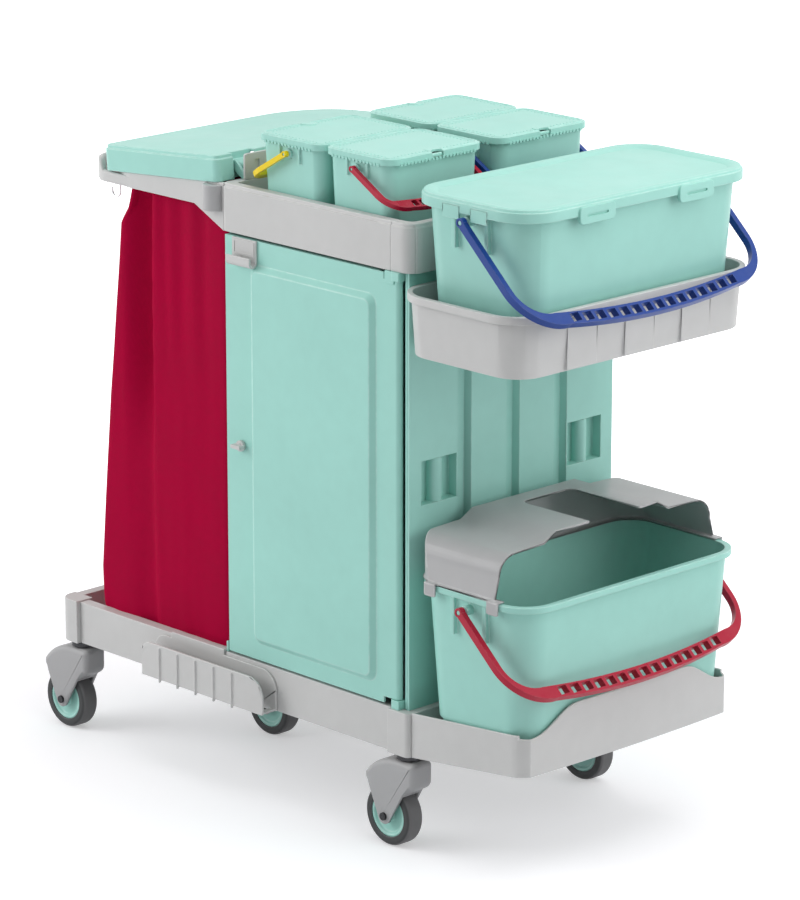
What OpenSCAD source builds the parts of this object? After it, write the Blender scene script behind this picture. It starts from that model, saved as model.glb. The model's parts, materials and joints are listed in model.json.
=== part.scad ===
// Janitor cart: a wheeled base that carries a laundry bag under a lid, a lockable cabinet with a tray
// of small buckets on top, and two large buckets with bail handles at one end.
// Millimetres, +Z up. X runs along the cart towards the bucket end, and the door is on the -Y side.

/* [Base] */
// Length of the base frame under the bag and the cabinet
base_len = 840; // [780:5:900]
// Width of the base frame
base_w = 464; // [456:2:500]
// Height of the base frame
base_h = 72; // [62:1:90]
// Wall of the base frame, the bucket tray and the mop rest
base_wall = 4; // [3:0.5:6]
// Width of the hollow rim round the base
base_rim = 20; // [16:1:26]
// How far the deck lies below the top of the base
deck_drop = 30; // [20:1:36]
// Length of the corner caps along the cart
cap_len = 46; // [40:1:60]
// How far the corner caps stand proud of the sides
cap_proud = 8; // [2:1:10]
// Thickness of the perforated deck plate in the bag bay
grate_t = 2; // [1.5:0.5:4]

/* [Running gear] */
// Diameter of the wheels
wheel_d = 100; // [90:1:110]
// Width of the tyres
wheel_w = 32; // [26:1:36]
// Height of the tyre from the hub to the tread
tyre_t = 14; // [10:1:18]
// How far a wheel trails behind its stem
caster_trail = 33; // [26:1:38]
// Height from the axle to the top of the fork
fork_rise = 98; // [92:1:110]
// Thickness of each fork leg
fork_leg = 5; // [4:0.5:7]
// Height of the bearing between fork and base
bearing_h = 10; // [8:1:16]
// Diameter of the axle bolts
axle_d = 8; // [6:0.5:10]
// Diameter of the swivel stems
stem_d = 12; // [10:0.5:14]
// Place of the fixed centre wheel along the base
centre_wheel_x = 271; // [240:1:300]

/* [Cabinet] */
// Length of the cabinet along the cart
cabinet_len = 428; // [410:1:450]
// Height of the cabinet from the base to the top tray
cabinet_h = 696; // [640:1:740]
// Wall of the cabinet panels
panel_t = 4; // [3:0.5:5]
// Distance between the grooves of the end panel
groove_pitch = 106; // [100:1:112]
// Depth of the grooves of the end panel
groove_depth = 12; // [8:1:14]
// Width of the moulded tool recesses
recess_w = 76; // [64:1:80]
// Height of the moulded tool recesses
recess_h = 70; // [60:1:90]
// Height of the tool recesses above the base
recess_z = 326; // [300:1:360]

/* [Door] */
// Wall of the door
door_t = 5; // [4:0.5:6]
// How far the raised panel stands proud of the door
door_raise = 8; // [5:1:10]
// Diameter of the hinge pins of the door
door_pin_d = 6; // [5:0.5:7]
// Height of the latch knob above the base
knob_z = 354; // [300:1:400]
// Diameter of the latch knob
knob_d = 18; // [14:1:22]

/* [Top tray] */
// Height of the top tray
tray_h = 77; // [68:1:90]
// Width of the hollow rim of the top tray
tray_rim = 18; // [14:1:20]
// Wall of the top tray
tray_wall = 4; // [3:0.5:5]

/* [Small buckets] */
// Depth of a small bucket's lid along the cart
small_d = 150; // [140:1:152]
// Width of a small bucket's lid across the cart
small_w = 206; // [190:1:209]
// Height of a small bucket
small_h = 158; // [145:1:170]
// Distance of the two rows of small buckets from the middle
small_row = 117; // [115:1:118]
// Reach of a small bail from its pivot to its grip
small_reach = 86; // [84:1:92]

/* [Bag bay] */
// How far the bag ring stands out from the top tray
ring_reach = 310; // [290:1:330]
// Thickness of the bag ring
ring_t = 9; // [7:0.5:11]
// Height of the bag ring at its free end
ring_h = 24; // [20:1:30]
// Length of the bag lid from its hinge
bag_lid_len = 276; // [262:1:286]
// Height of the bag lid's skirt
bag_lid_h = 42; // [36:1:46]
// Slope of the bag lid in degrees
bag_lid_tilt = 4.6; // [3:0.1:5]
// Wall of the bag
bag_wall = 2.5; // [2:0.5:4]

/* [Large buckets] */
// Width of a large bucket's body at the rim, across the cart
bucket_w = 478; // [450:1:482]
// Depth of a large bucket's body at the rim, along the cart
bucket_d = 234; // [220:1:236]
// Height of a large bucket
bucket_h = 245; // [225:1:260]
// Draft of a large bucket's sides from rim to bottom
bucket_draft = 15; // [14:0.5:18]
// Wall of the large buckets
bucket_wall = 3; // [2.5:0.5:4]
// How far the rim of a large bucket stands out
rim_out = 8; // [6:0.5:9]
// Length of the tray that carries the lower bucket
bucket_tray_len = 252; // [250:1:270]
// Height of the bucket holder
holder_h = 97; // [85:1:110]
// How far the bottom of the bucket holder is below the top tray
holder_drop = 116; // [96:1:136]
// Reach of the upper bail from its pivot to its grip
upper_reach = 184; // [170:1:190]
// Reach of the lower bail from its pivot to its grip
lower_reach = 158; // [150:1:165]
// Height of the hood above the lower bucket's rim
hood_h = 86; // [80:1:96]

/* [Fits] */
// Clearance round a turning pin
pin_clear = 0.05; // [0.02:0.01:0.1]
// Gap between pieces that lie against each other
rest_gap = 0.3; // [0.2:0.05:0.5]

/* [Hidden] */
$fn = 48;
eps = 0.01;

mint = "#a9dccf";
mint_dark = "#8fc9b8";
grey = "#c9c9c9";
grey_mid = "#b3b3b3";
grey_dark = "#959595";
crimson = "#a3053a";
tyre_grey = "#4a4a4a";
steel = "#c4c8cc";
bail_blue = "#1e4a9c";
bail_red = "#c4173f";
bail_yellow = "#f2d400";
bail_green = "#2f9a55";

// Heights of the main levels
axle_z = wheel_d / 2;
base_z = axle_z + fork_rise + bearing_h;
base_top = base_z + base_h;
deck_z = base_top - deck_drop;
tray_z = base_top + cabinet_h;
tray_top = tray_z + tray_h;
half_w = base_w / 2;

// Places along the cart, from the bag end of the base
split_x = base_len - cabinet_len;
panel_x = base_len - 12;
stem_bag_x = 35;
stem_bucket_x = base_len - 20;
stem_y = half_w - 15;
cap_in = 28;

// Fork and wheel
slot_w = wheel_w + 4;
fork_w = slot_w + 2 * fork_leg;
hub_r = wheel_d / 2 - tyre_t;

// Door and its hinge
hinge_x = panel_x - 22;
hinge_y = 6 - half_w;
barrel_r = 7;
door_y = hinge_y - barrel_r;
door_z0 = base_top + 4;
door_z1 = tray_z - 4;
door_x0 = split_x + 8;
block_h = 14;
knob_x = split_x + 44;

// Large buckets, their pivots and bails
bucket_x = base_len + 135;
pivot_x = bucket_x;
tray_pad = 6;
lower_z = deck_z + 5 + tray_pad + rest_gap;
holder_bottom = tray_z - holder_drop;
holder_floor = 3;
upper_z = holder_bottom + holder_floor + rest_gap;
foot_h = 25;
ear_drop = 24;
ear_r = 8;
pivot_d = 8;
lid_half_w = bucket_w / 2 + 15;
lid_half_d = bucket_d / 2 + 12;
arm_in = lid_half_w + 1.5;
arm_w = 10;
bail_t = 12;
grip_w = 24;
corner_stand = 3;
holder_x0 = panel_x + rest_gap;
holder_x1 = bucket_x + bucket_d / 2 + 10;
holder_half_w = lid_half_w + 14;
lip = 10;

// Small buckets
small_bottom = tray_z + tray_wall + rest_gap;
small_right_x = base_len - 60 - small_d / 2;
small_left_x = small_right_x - small_d - 2;
small_wall = 2.5;
small_arm_w = 8;
small_bail_t = 8;
small_grip_w = 20;
small_pivot_d = 5;
small_pivot_z = small_bottom + small_h - 20;
small_arm_in = small_w / 2 + 1.5;

// Bag lid and its hinge
lid_pin_x = split_x - 14;
lid_pin_z = tray_top + 18;
lid_pin_d = 8;
lid_lug_w = 30;
lid_lug_y = 170;
bag_lid_half_w = half_w - 2;

// Middle of the cart along X, so that the model stands over its origin
x_first = stem_bag_x - caster_trail - wheel_d / 2;
x_last = grip_tip(pivot_x, upper_reach, holder_x1 + corner_stand);
x_mid = (x_first + x_last) / 2;

// Helpers

// A box given by its limits
module slab(x, y, z) {
    translate([x[0], y[0], z[0]]) cube([x[1] - x[0], y[1] - y[0], z[1] - z[0]]);
}

// A rectangle with its own radius at each corner: low x low y, high x low y, high x high y, low x high y
module plate(x, y, r) {
    corners = [[x[0], y[0], 1, 1], [x[1], y[0], -1, 1], [x[1], y[1], -1, -1], [x[0], y[1], 1, -1]];
    difference() {
        translate([x[0], y[0]]) square([x[1] - x[0], y[1] - y[0]]);
        for (i = [0:3]) if (r[i] > 0) {
            c = corners[i];
            translate([c[0] + c[2] * r[i], c[1] + c[3] * r[i]]) difference() {
                translate([c[2] > 0 ? -r[i] - 1 : 0, c[3] > 0 ? -r[i] - 1 : 0]) square(r[i] + 1);
                circle(r[i]);
            }
        }
    }
}

// A rounded rectangle about the origin
module rounded(w, d, r) {
    plate([-w / 2, w / 2], [-d / 2, d / 2], [r, r, r, r]);
}

// A profile in X and Z, made w wide about the middle of Y
module across(w) {
    rotate([90, 0, 0]) linear_extrude(w, center = true) children();
}

// A profile in Y and Z, run along X
module along(x) {
    translate([x[0], 0, 0]) rotate([90, 0, 90]) linear_extrude(x[1] - x[0]) children();
}

// A pin or a bore across the cart
module pin_y(x, y, z, r) {
    translate([x, y[0], z]) rotate([-90, 0, 0]) cylinder(r = r, h = y[1] - y[0]);
}

// A tapered tub with rounded corners, smaller at its bottom
module tub(bottom, top, r, h) {
    hull() {
        linear_extrude(eps) rounded(bottom[0], bottom[1], r * 0.85, $fn = 32);
        translate([0, 0, h - eps]) linear_extrude(eps) rounded(top[0], top[1], r, $fn = 32);
    }
}

// Points on an arc in a plane, from angle a to angle b
function arc(c, r, a, b, n = 8) = [for (i = [0:n]) c + r * [cos(a + (b - a) * i / n), sin(a + (b - a) * i / n)]];

// How far a bail sinks below the level before its grip, at this reach, meets a wall d away from the pivot
function rest_angle(reach, d, t) = acos((d + rest_gap) / norm([reach, t / 2])) - atan2(t / 2, reach);

// How far along X the grip of a large bail reaches when it rests against a wall
function grip_tip(pivot, reach, wall_x, grip = grip_w, bow = 14, t = bail_t) =
    let (a = rest_angle(reach, wall_x - pivot, t)) pivot + (reach + grip + bow) * cos(a) + t / 2 * sin(a);

// Base

base_plan_r = 25;

// The corner pieces of the base: the room that the four caps take
module base_corner(sx, sy, proud) {
    x = sx > 0 ? [base_len - cap_len, base_len] : [0, cap_len];
    y = sy > 0 ? [half_w - cap_in, half_w + proud] : [-half_w - proud, cap_in - half_w];
    slab(x, y, [base_z, base_top + (sx < 0 ? 2 : 0)]);
}

module base_corner_caps() {
    color(grey) for (sx = [-1, 1], sy = [-1, 1]) intersection() {
        base_corner(sx, sy, cap_proud);
        translate([0, 0, base_z]) linear_extrude(base_h + 2)
            plate([0, base_len], [-half_w - cap_proud, half_w + cap_proud],
                [base_plan_r, 8, 8, base_plan_r]);
    }
}

module base_frame() {
    wall = base_wall;
    rim = base_rim;
    color(grey) difference() {
        slab([0, base_len], [-half_w, half_w], [base_z, base_top]);
        slab([rim, base_len - rim], [rim - half_w, half_w - rim], [deck_z, base_top + 1]);
        difference() {
            slab([wall, base_len - wall], [wall - half_w, half_w - wall], [base_z - 1, base_top - wall]);
            slab([rim - wall, base_len - rim + wall], [rim - wall - half_w, half_w - rim + wall],
                [deck_z - wall, base_top]);
        }
        for (sx = [-1, 1], sy = [-1, 1]) {
            x = sx > 0 ? [base_len - cap_len, base_len + 1] : [-1, cap_len];
            y = sy > 0 ? [half_w - cap_in, half_w + 1] : [-half_w - 1, cap_in - half_w];
            slab(x, y, [base_z, base_top + 3]);
        }
    }
}

grate_x = [base_rim + 1, split_x - 2];
grate_half_w = half_w - base_rim - 1;
grate_slots = 12;

module deck_grate() {
    bar = 8;
    pitch = (grate_x[1] - grate_x[0] - 2 * bar) / grate_slots;
    color(grey_dark) difference() {
        slab(grate_x, [-grate_half_w, grate_half_w], [deck_z, deck_z + grate_t]);
        slab([0, cap_len + 1], [cap_in - half_w - 80, cap_in - half_w + 1], [deck_z - 1, deck_z + 9]);
        slab([0, cap_len + 1], [half_w - cap_in - 1, half_w], [deck_z - 1, deck_z + 9]);
        for (i = [0:grate_slots - 1], s = [-1, 0, 1])
            translate([grate_x[0] + bar + (i + 0.5) * pitch, s * grate_half_w * 0.62, deck_z])
                cube([pitch - bar, grate_half_w * 0.5, 4 * grate_t], center = true);
    }
}

// Tray for the lower bucket: its underside rises towards the end, and its end wall swells up in the middle
end_x = base_len + bucket_tray_len;
end_bow = 8;
side_top = [base_top + 1, base_top + 21];
end_low = base_top + 16;
end_high = base_top + 55;
end_flat = 118;
end_swell = 96;
end_r = 36;
tray_deck = deck_z + 5;

// Outline of the tray seen from above, with its end slightly bowed
module bucket_tray_plan(inset, x0) {
    half = half_w - inset;
    bow_r = (half * half + end_bow * end_bow) / (2 * end_bow);
    intersection() {
        plate([x0, end_x - inset], [-half, half], [0, end_r - inset, end_r - inset, 0]);
        translate([end_x - inset - bow_r, 0]) circle(bow_r, $fn = 360);
    }
}

module bucket_tray() {
    wall = base_wall;
    s_curve = [for (t = [0:0.1:1]) [end_swell * t, (end_high - end_low) * (1 - cos(180 * t)) / 2]];
    crest = concat(
        [[-half_w - 1, end_low]],
        [for (p = s_curve) [-end_flat - end_swell + p[0], end_low + p[1]]],
        [for (i = [0:10]) let (p = s_curve[10 - i]) [end_flat + end_swell - p[0], end_low + p[1]]],
        [[half_w + 1, end_low], [half_w + 1, end_high + 60], [-half_w - 1, end_high + 60]]);
    color(grey_mid) for (s = [-1, 1]) slab([bucket_x + s * 88 - 14, bucket_x + s * 88 + 14], [-180, 180],
        [tray_deck - 1, tray_deck + tray_pad]);
    color(grey_mid) difference() {
        intersection() {
            translate([0, 0, base_z]) linear_extrude(200) bucket_tray_plan(0, base_len);
            across(base_w + 2) polygon([[base_len, base_z], [end_x, base_z + 28], [end_x, end_high],
                [base_len, end_high]]);
        }
        translate([0, 0, tray_deck]) linear_extrude(200) bucket_tray_plan(wall, base_len + wall);
        translate([0, 0, base_z - 1]) linear_extrude(tray_deck - wall - base_z + 1)
            bucket_tray_plan(wall, base_len + wall);
        across(base_w + 2) polygon([[base_len - 1, side_top[0]], [end_x - 22, side_top[1]],
            [end_x - 22, end_high + 9], [base_len - 1, end_high + 9]]);
        along([end_x - 23, end_x + 1]) polygon(crest);
    }
}

// Trough on the door side that a mop's head rests in, hooked over the rim of the base
rest_x = [split_x - 172, split_x + 122];
rest_rib = 3;
rest_depth = holder_half_w - half_w - 2 * base_wall - rest_rib;
rest_z = base_z;

module mop_rest() {
    wall = base_wall;
    y_back = -half_w - wall;
    y_front = y_back - rest_depth - wall;
    rib_pitch = 44;
    color(grey) {
        translate([0, -half_w, 0]) rotate([90, 0, 0]) linear_extrude(wall)
            plate(rest_x, [rest_z, base_top - 6], [4, 4, 34, 26]);
        translate([0, y_front + wall, 0]) rotate([90, 0, 0]) linear_extrude(wall)
            plate(rest_x, [rest_z, base_top - 13], [4, 4, 34, 20]);
        slab([rest_x[0] + 30, rest_x[1] - 42], [y_front + 1, y_back + 1], [rest_z, rest_z + wall]);
        for (x = [rest_x[0] + 4, rest_x[1] - 14])
            slab([x, x + 10], [y_front + 1, y_back + 1], [rest_z, rest_z + wall]);
        for (i = [1:5]) slab([rest_x[0] + rib_pitch * i, rest_x[0] + rib_pitch * i + rest_rib],
            [y_front - rest_rib, y_front + 1], [rest_z - 4, base_top - 17]);
        slab([rest_x[0] + 42, split_x - 2], [y_back, -half_w], [base_top - 10, base_top + 4]);
        slab([rest_x[0] + 42, split_x - 2], [y_back, 8 - half_w], [base_top, base_top + 4]);
    }
}

// Running gear

caster_places = [[stem_bag_x, -stem_y], [stem_bucket_x, -stem_y], [stem_bag_x, stem_y], [stem_bucket_x, stem_y]];
stem_into = 34;

module caster_stems() {
    plate_h = bearing_h - 2;
    color(steel) for (p = caster_places) translate([p[0], p[1], base_z]) {
        translate([0, 0, -plate_h]) cylinder(d = 40, h = plate_h);
        translate([0, 0, -bearing_h - stem_into]) cylinder(d = stem_d, h = stem_into + bearing_h);
    }
}

// Side outline of a fork, about the foot of its stem
module fork_outline() {
    t = -caster_trail;
    top = axle_z + fork_rise;
    eye = 13;
    polygon(concat(
        arc([t, axle_z], eye, 200, 338, 8),
        [[t + 40, axle_z + 44], [t + 64, axle_z + 57], [t + 64, top - 12]],
        arc([t + 56, top - 8], 8, 0, 90, 4),
        [[t + 24, top]],
        arc([t + 24, top - 88], 88, 96, 142, 7),
        [[t - 47, axle_z + 52], [t - 34, axle_z + 44]]));
}

module caster_fork(i) {
    p = caster_places[i];
    color(grey_dark) translate([p[0], p[1], 0]) difference() {
        across(fork_w) fork_outline();
        translate([-caster_trail, 0, axle_z]) rotate([90, 0, 0])
            cylinder(r = wheel_d / 2 + 4, h = slot_w, center = true);
        slab([-caster_trail - wheel_d, wheel_d], [-slot_w / 2, slot_w / 2], [0, axle_z + 30]);
        pin_y(-caster_trail, [-fork_w, fork_w], axle_z, axle_d / 2);
        translate([0, 0, axle_z + fork_rise - stem_into - 1])
            cylinder(d = stem_d + 2 * pin_clear, h = stem_into + 2);
    }
}

// Axle bolt with a round head on the outside and a nut on the inside
module axle_bolt(x, y, out) {
    head = 4;
    half = fork_w / 2;
    color(steel) {
        pin_y(x, [y - half, y + half], axle_z, axle_d / 2);
        pin_y(x, out < 0 ? [y - half - head, y - half] : [y + half, y + half + head], axle_z, axle_d * 0.8);
        pin_y(x, out < 0 ? [y + half, y + half + head] : [y - half - head, y - half], axle_z, axle_d * 0.8,
            $fn = 6);
    }
}

// A hub with a dished face and a long boss round the axle
module wheel_hub(x, y) {
    half = wheel_w / 2 - 2;
    color(mint) translate([x, y, axle_z]) rotate([90, 0, 0]) rotate_extrude()
        polygon([[axle_d / 2 + pin_clear, -half - 3], [axle_d, -half - 3], [axle_d + 3, -half + 4],
            [hub_r - 8, -half + 4], [hub_r - 4, -half], [hub_r, -half],
            [hub_r, half], [hub_r - 4, half], [hub_r - 8, half - 4], [axle_d + 3, half - 4],
            [axle_d, half + 3], [axle_d / 2 + pin_clear, half + 3]]);
}

// A tyre with rounded shoulders
module wheel_tyre(x, y) {
    half = wheel_w / 2;
    shoulder = 7;
    color(tyre_grey) translate([x, y, axle_z]) rotate([90, 0, 0]) rotate_extrude($fn = 96)
        plate([hub_r, wheel_d / 2], [-half, half], [2, shoulder, shoulder, 2]);
}

module caster_axle(i) {
    p = caster_places[i];
    axle_bolt(p[0] - caster_trail, p[1], p[1]);
}

module caster_hub(i) {
    p = caster_places[i];
    wheel_hub(p[0] - caster_trail, p[1]);
}

module caster_tyre(i) {
    p = caster_places[i];
    wheel_tyre(p[0] - caster_trail, p[1]);
}

// Fixed wheel under the middle of the deck
module centre_bracket() {
    foot = 34;
    under = deck_z - base_wall;
    color(grey_dark) {
        slab([centre_wheel_x - foot, centre_wheel_x + foot], [-foot, foot], [under - 5, under]);
        for (s = [-1, 1]) difference() {
            translate([centre_wheel_x, s * (slot_w + fork_leg) / 2, 0]) across(fork_leg)
                polygon(concat(arc([0, axle_z], 13, 190, 350, 8), [[foot, under - 5], [-foot, under - 5]]));
            pin_y(centre_wheel_x, [-fork_w, fork_w], axle_z, axle_d / 2);
        }
    }
}

module centre_axle() {
    axle_bolt(centre_wheel_x, 0, -1);
}

module centre_hub() {
    wheel_hub(centre_wheel_x, 0);
}

module centre_tyre() {
    wheel_tyre(centre_wheel_x, 0);
}

// Cabinet

panel_half_w = half_w - 7;
recess_y = groove_pitch * 1.5 + 2;
recess_depth = 18;
hook_y = 120;
hook_w = 30;
hook_h = 12;
hook_z = holder_bottom + holder_h - 34;

// Plan of the end panel: flat fields with a groove between them
module end_panel_plan() {
    t = panel_t;
    slope = 5;
    floor_w = 10;
    grooves = [-groove_pitch, 0, groove_pitch];
    face = [for (c = grooves) each [[panel_x, c - floor_w - slope], [panel_x - groove_depth, c - floor_w],
        [panel_x - groove_depth, c + floor_w], [panel_x, c + floor_w + slope]]];
    back = [for (k = [2:-1:0]) let (c = grooves[k]) each [[panel_x - t, c + floor_w + slope + 2],
        [panel_x - groove_depth - t, c + floor_w + 2], [panel_x - groove_depth - t, c - floor_w - 2],
        [panel_x - t, c - floor_w - slope - 2]]];
    polygon(concat([[panel_x, -panel_half_w]], face, [[panel_x, panel_half_w], [panel_x - t, panel_half_w]],
        back, [[panel_x - t, -panel_half_w]]));
}

module cabinet_end_panel() {
    bead = 6;
    wall = 3;
    z = [base_top + recess_z, base_top + recess_z + recess_h];
    bar_r = 12;
    color(mint) difference() {
        union() {
            translate([0, 0, base_top]) linear_extrude(cabinet_h) end_panel_plan();
            for (s = [-1, 1]) {
                translate([panel_x - bead, s * (panel_half_w - bead), base_top]) cylinder(r = bead, h = cabinet_h);
                slab([panel_x - recess_depth - wall, panel_x - 1],
                    [s * recess_y - recess_w / 2 - wall, s * recess_y + recess_w / 2 + wall],
                    [z[0] - wall, z[1] + wall]);
            }
        }
        for (s = [-1, 1]) {
            difference() {
                slab([panel_x - recess_depth, panel_x + 1],
                    [s * recess_y - recess_w / 2, s * recess_y + recess_w / 2], z);
                translate([panel_x - bar_r, s * recess_y, z[0] - 1]) cylinder(r = bar_r, h = recess_h + 2);
            }
            slab([panel_x - 2 * groove_depth, panel_x + 1],
                [s * hook_y - hook_w / 2 - rest_gap, s * hook_y + hook_w / 2 + rest_gap],
                [hook_z - rest_gap, hook_z + hook_h + rest_gap]);
        }
    }
}

module cabinet_rear_panel() {
    y0 = half_w - 11;
    t = panel_t;
    x = [split_x, panel_x - 12];
    raise = 6;
    inset = 60;
    color(mint) difference() {
        union() {
            slab(x, [y0, y0 + t], [base_top, tray_z]);
            translate([0, y0 + t + raise - 1, 0]) rotate([90, 0, 0]) linear_extrude(raise)
                plate([x[0] + inset, x[1] - inset], [base_top + 32, tray_z - 48], [15, 15, 15, 15]);
            for (e = x) slab([e == x[0] ? e : e - t, e == x[0] ? e + t : e], [rear_flange, y0 + 1], [base_top, tray_z]);
        }
        translate([0, y0 + raise - 1, 0]) rotate([90, 0, 0]) linear_extrude(raise + 9)
            plate([x[0] + inset + t, x[1] - inset - t], [base_top + 32 + t, tray_z - 48 - t], [11, 11, 11, 11]);
    }
}

rear_flange = half_w - 25;
keeper_t = 3;
keeper_y = 16 - half_w;

module cabinet_side_panel() {
    t = panel_t;
    color(mint_dark) {
        slab([split_x, split_x + t], [base_rim + 1 - half_w, half_w - base_rim - 1], [deck_z, base_top - rest_gap]);
        slab([split_x, split_x + t], [base_rim + 1 - half_w, rear_flange - rest_gap], [base_top - 1, base_top + 1]);
        slab([split_x, split_x + t], [keeper_y, rear_flange - rest_gap], [base_top + rest_gap, tray_z]);
        slab([split_x + t - 1, split_x + 22], [keeper_y, keeper_y + keeper_t],
            [base_top + knob_z - 19, base_top + knob_z + 19]);
        slab([split_x - 1, split_x + t], [1 - half_w, keeper_y + 1], [base_top, base_top + 18]);
    }
}

// Two blocks beside the end panel, with the pins that the door turns on
module door_hinge_blocks() {
    pin_in = 24;
    x = [hinge_x - 11, panel_x - 12];
    y = [hinge_y - 10, hinge_y + 10];
    outline_r = 8;
    color(mint) {
        translate([0, 0, base_top]) linear_extrude(block_h) plate(x, y, [outline_r, 2, 2, outline_r]);
        translate([hinge_x, hinge_y, base_top]) cylinder(d = door_pin_d, h = block_h + pin_in);
        translate([0, 0, tray_z - block_h]) linear_extrude(block_h) plate(x, y, [outline_r, 2, 2, outline_r]);
        translate([hinge_x, hinge_y, tray_z - block_h - pin_in]) cylinder(d = door_pin_d, h = block_h + pin_in);
    }
}

raised_x = [split_x + 68, hinge_x - 41];
raised_z = [base_top + 32, tray_z - 41];

// The door's raised field, with sloped sides, drawn in by inset
module raised_field(inset, y, h) {
    slope = 10;
    w = raised_x[1] - raised_x[0] - 2 * inset;
    d = raised_z[1] - raised_z[0] - 2 * inset;
    translate([(raised_x[0] + raised_x[1]) / 2, y, (raised_z[0] + raised_z[1]) / 2]) rotate([90, 0, 0])
        tub_lid(w, d, slope, h);
}

// A low pad that narrows towards its face
module tub_lid(w, d, slope, h) {
    hull() {
        linear_extrude(eps) rounded(w, d, 18, $fn = 32);
        translate([0, 0, h - eps]) linear_extrude(eps) rounded(w - 2 * slope, d - 2 * slope, 12, $fn = 32);
    }
}

module door() {
    t = door_t;
    fold = 10;
    notch = 26;
    barrel_z = [base_top + block_h + rest_gap, tray_z - block_h - rest_gap];
    color(mint) difference() {
        union() {
            slab([door_x0, hinge_x], [door_y, door_y + t], [door_z0, door_z1]);
            translate([hinge_x, hinge_y, barrel_z[0]]) cylinder(r = barrel_r, h = barrel_z[1] - barrel_z[0]);
            raised_field(0, door_y + 1, door_raise + 1);
            slab([door_x0, door_x0 + t], [door_y + 1, door_y + t + fold], [door_z0, door_z1]);
            for (z = [door_z0, door_z1 - t])
                slab([door_x0, hinge_x - notch - 12], [door_y + 1, door_y + t + fold], [z, z + t]);
        }
        raised_field(t, door_y + t + 1, door_raise + 1);
        for (z = [[door_z0 - 1, barrel_z[0]], [barrel_z[1], door_z1 + 1]])
            slab([hinge_x - notch, hinge_x + notch], [door_y - 1, hinge_y + 20], z);
        translate([hinge_x, hinge_y, base_top]) cylinder(d = door_pin_d + 2 * pin_clear, h = cabinet_h);
        pin_y(knob_x, [door_y - 1, door_y + t + 1], base_top + knob_z, 5 + pin_clear);
    }
}

// J-shaped hook on the door that a broom handle leans in
module door_hook() {
    x = [split_x + 29, split_x + 84];
    z = door_z1 - 43;
    t = 4;
    bend = 5;
    lip_h = 8;
    color(grey) translate([0, door_y, z]) along(x) {
        translate([-t, bend + t]) square([t, 43 - bend - t]);
        translate([-t - bend, bend + t]) difference() {
            circle(bend + t);
            circle(bend);
            translate([-20, 0]) square([40, 20]);
        }
        translate([-2 * t - 2 * bend, bend + t]) square([t, lip_h]);
    }
}

// Knob outside the door, its shaft and the cam inside
module door_latch() {
    z = base_top + knob_z;
    y_in = keeper_y + keeper_t + 1;
    color(grey) {
        pin_y(knob_x, [door_y - 8, y_in], z, 5);
        pin_y(knob_x, [door_y - 6, door_y - rest_gap], z, knob_d / 2);
        slab([knob_x - knob_d * 0.6, knob_x + knob_d * 0.6], [door_y - 16, door_y - 5], [z - 3, z + 3]);
        slab([knob_x - 6, knob_x + 6], [y_in - eps, y_in + 4], [z - 6, z + 34]);
    }
}

// Top tray

tray_x = [split_x - 2, base_len];
tray_r = 26;
tray_cap = 46;

module top_tray_body() {
    rim = tray_rim;
    wall = tray_wall;
    edge = 6;
    difference() {
        union() {
            translate([0, 0, tray_z]) linear_extrude(tray_h - edge)
                plate(tray_x, [-half_w, half_w], [12, tray_r, tray_r, 12]);
            translate([0, 0, tray_top - edge - eps]) linear_extrude(edge + eps)
                plate([tray_x[0] + 2, tray_x[1] - 2], [2 - half_w, half_w - 2], [11, tray_r - 2, tray_r - 2, 11]);
        }
        translate([0, 0, tray_z + wall]) linear_extrude(tray_h)
            plate([tray_x[0] + rim, tray_x[1] - rim], [rim - half_w, half_w - rim], [8, 14, 14, 8]);
        translate([0, 0, tray_z - 1]) linear_extrude(tray_h - edge - wall) difference() {
            plate([tray_x[0] + wall, tray_x[1] - wall], [wall - half_w, half_w - wall], [8, tray_r - wall, tray_r - wall, 8]);
            plate([tray_x[0] + rim - wall, tray_x[1] - rim + wall], [rim - wall - half_w, half_w - rim + wall],
                [10, 16, 16, 10]);
        }
    }
}

module tray_cap_room() {
    for (s = [-1, 1]) slab([tray_x[1] - tray_cap, tray_x[1] + 1],
        s > 0 ? [half_w - tray_rim + tray_wall + 1, half_w + 1] : [-half_w - 1, tray_rim - tray_wall - 1 - half_w],
        [tray_z - 1, tray_top + 1]);
}

module top_tray() {
    color(grey) difference() {
        top_tray_body();
        tray_cap_room();
    }
}

module top_tray_corner_caps() {
    color(grey) intersection() {
        top_tray_body();
        tray_cap_room();
    }
}

// Bag bay

ring_half_w = half_w - 6;
ring_x0 = tray_x[0] - ring_reach;
ring_z = tray_top - 22 - ring_h;
ring_r = 90;

module bag_ring() {
    t = ring_t;
    deep = 34;
    color(grey) difference() {
        union() {
            translate([0, 0, ring_z]) linear_extrude(tray_top - ring_z - 2) difference() {
                plate([ring_x0, tray_x[0]], [-ring_half_w, ring_half_w], [ring_r, 0, 0, ring_r]);
                plate([ring_x0 + t, tray_x[0] + 1], [t - ring_half_w, ring_half_w - t], [ring_r - t, 0, 0, ring_r - t]);
            }
            for (s = [-1, 1]) translate([0, s * (ring_half_w - t / 2), 0]) across(t)
                polygon([[tray_x[0] - 70, ring_z + 5], [tray_x[0] - 70, ring_z], [tray_x[0], ring_z - deep],
                    [tray_x[0], ring_z + 5]]);
        }
        bag_lid_place() slab([-bag_lid_len - 200, 60], [-half_w, half_w], [-bag_lid_h / 2 - rest_gap, 200]);
    }
}

// Half-round clamps over the ring's arms
clamp_r = 18;

module ring_clamps() {
    color(grey_dark) for (s = [-1, 1]) difference() {
        translate([tray_x[0] - 22, s * ring_half_w, ring_z - 2]) cylinder(r = clamp_r, h = tray_top - ring_z - 5);
        slab([ring_x0, tray_x[0]], s > 0 ? [0, ring_half_w] : [-ring_half_w, 0], [ring_z - 20, tray_top + 9]);
    }
}

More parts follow.
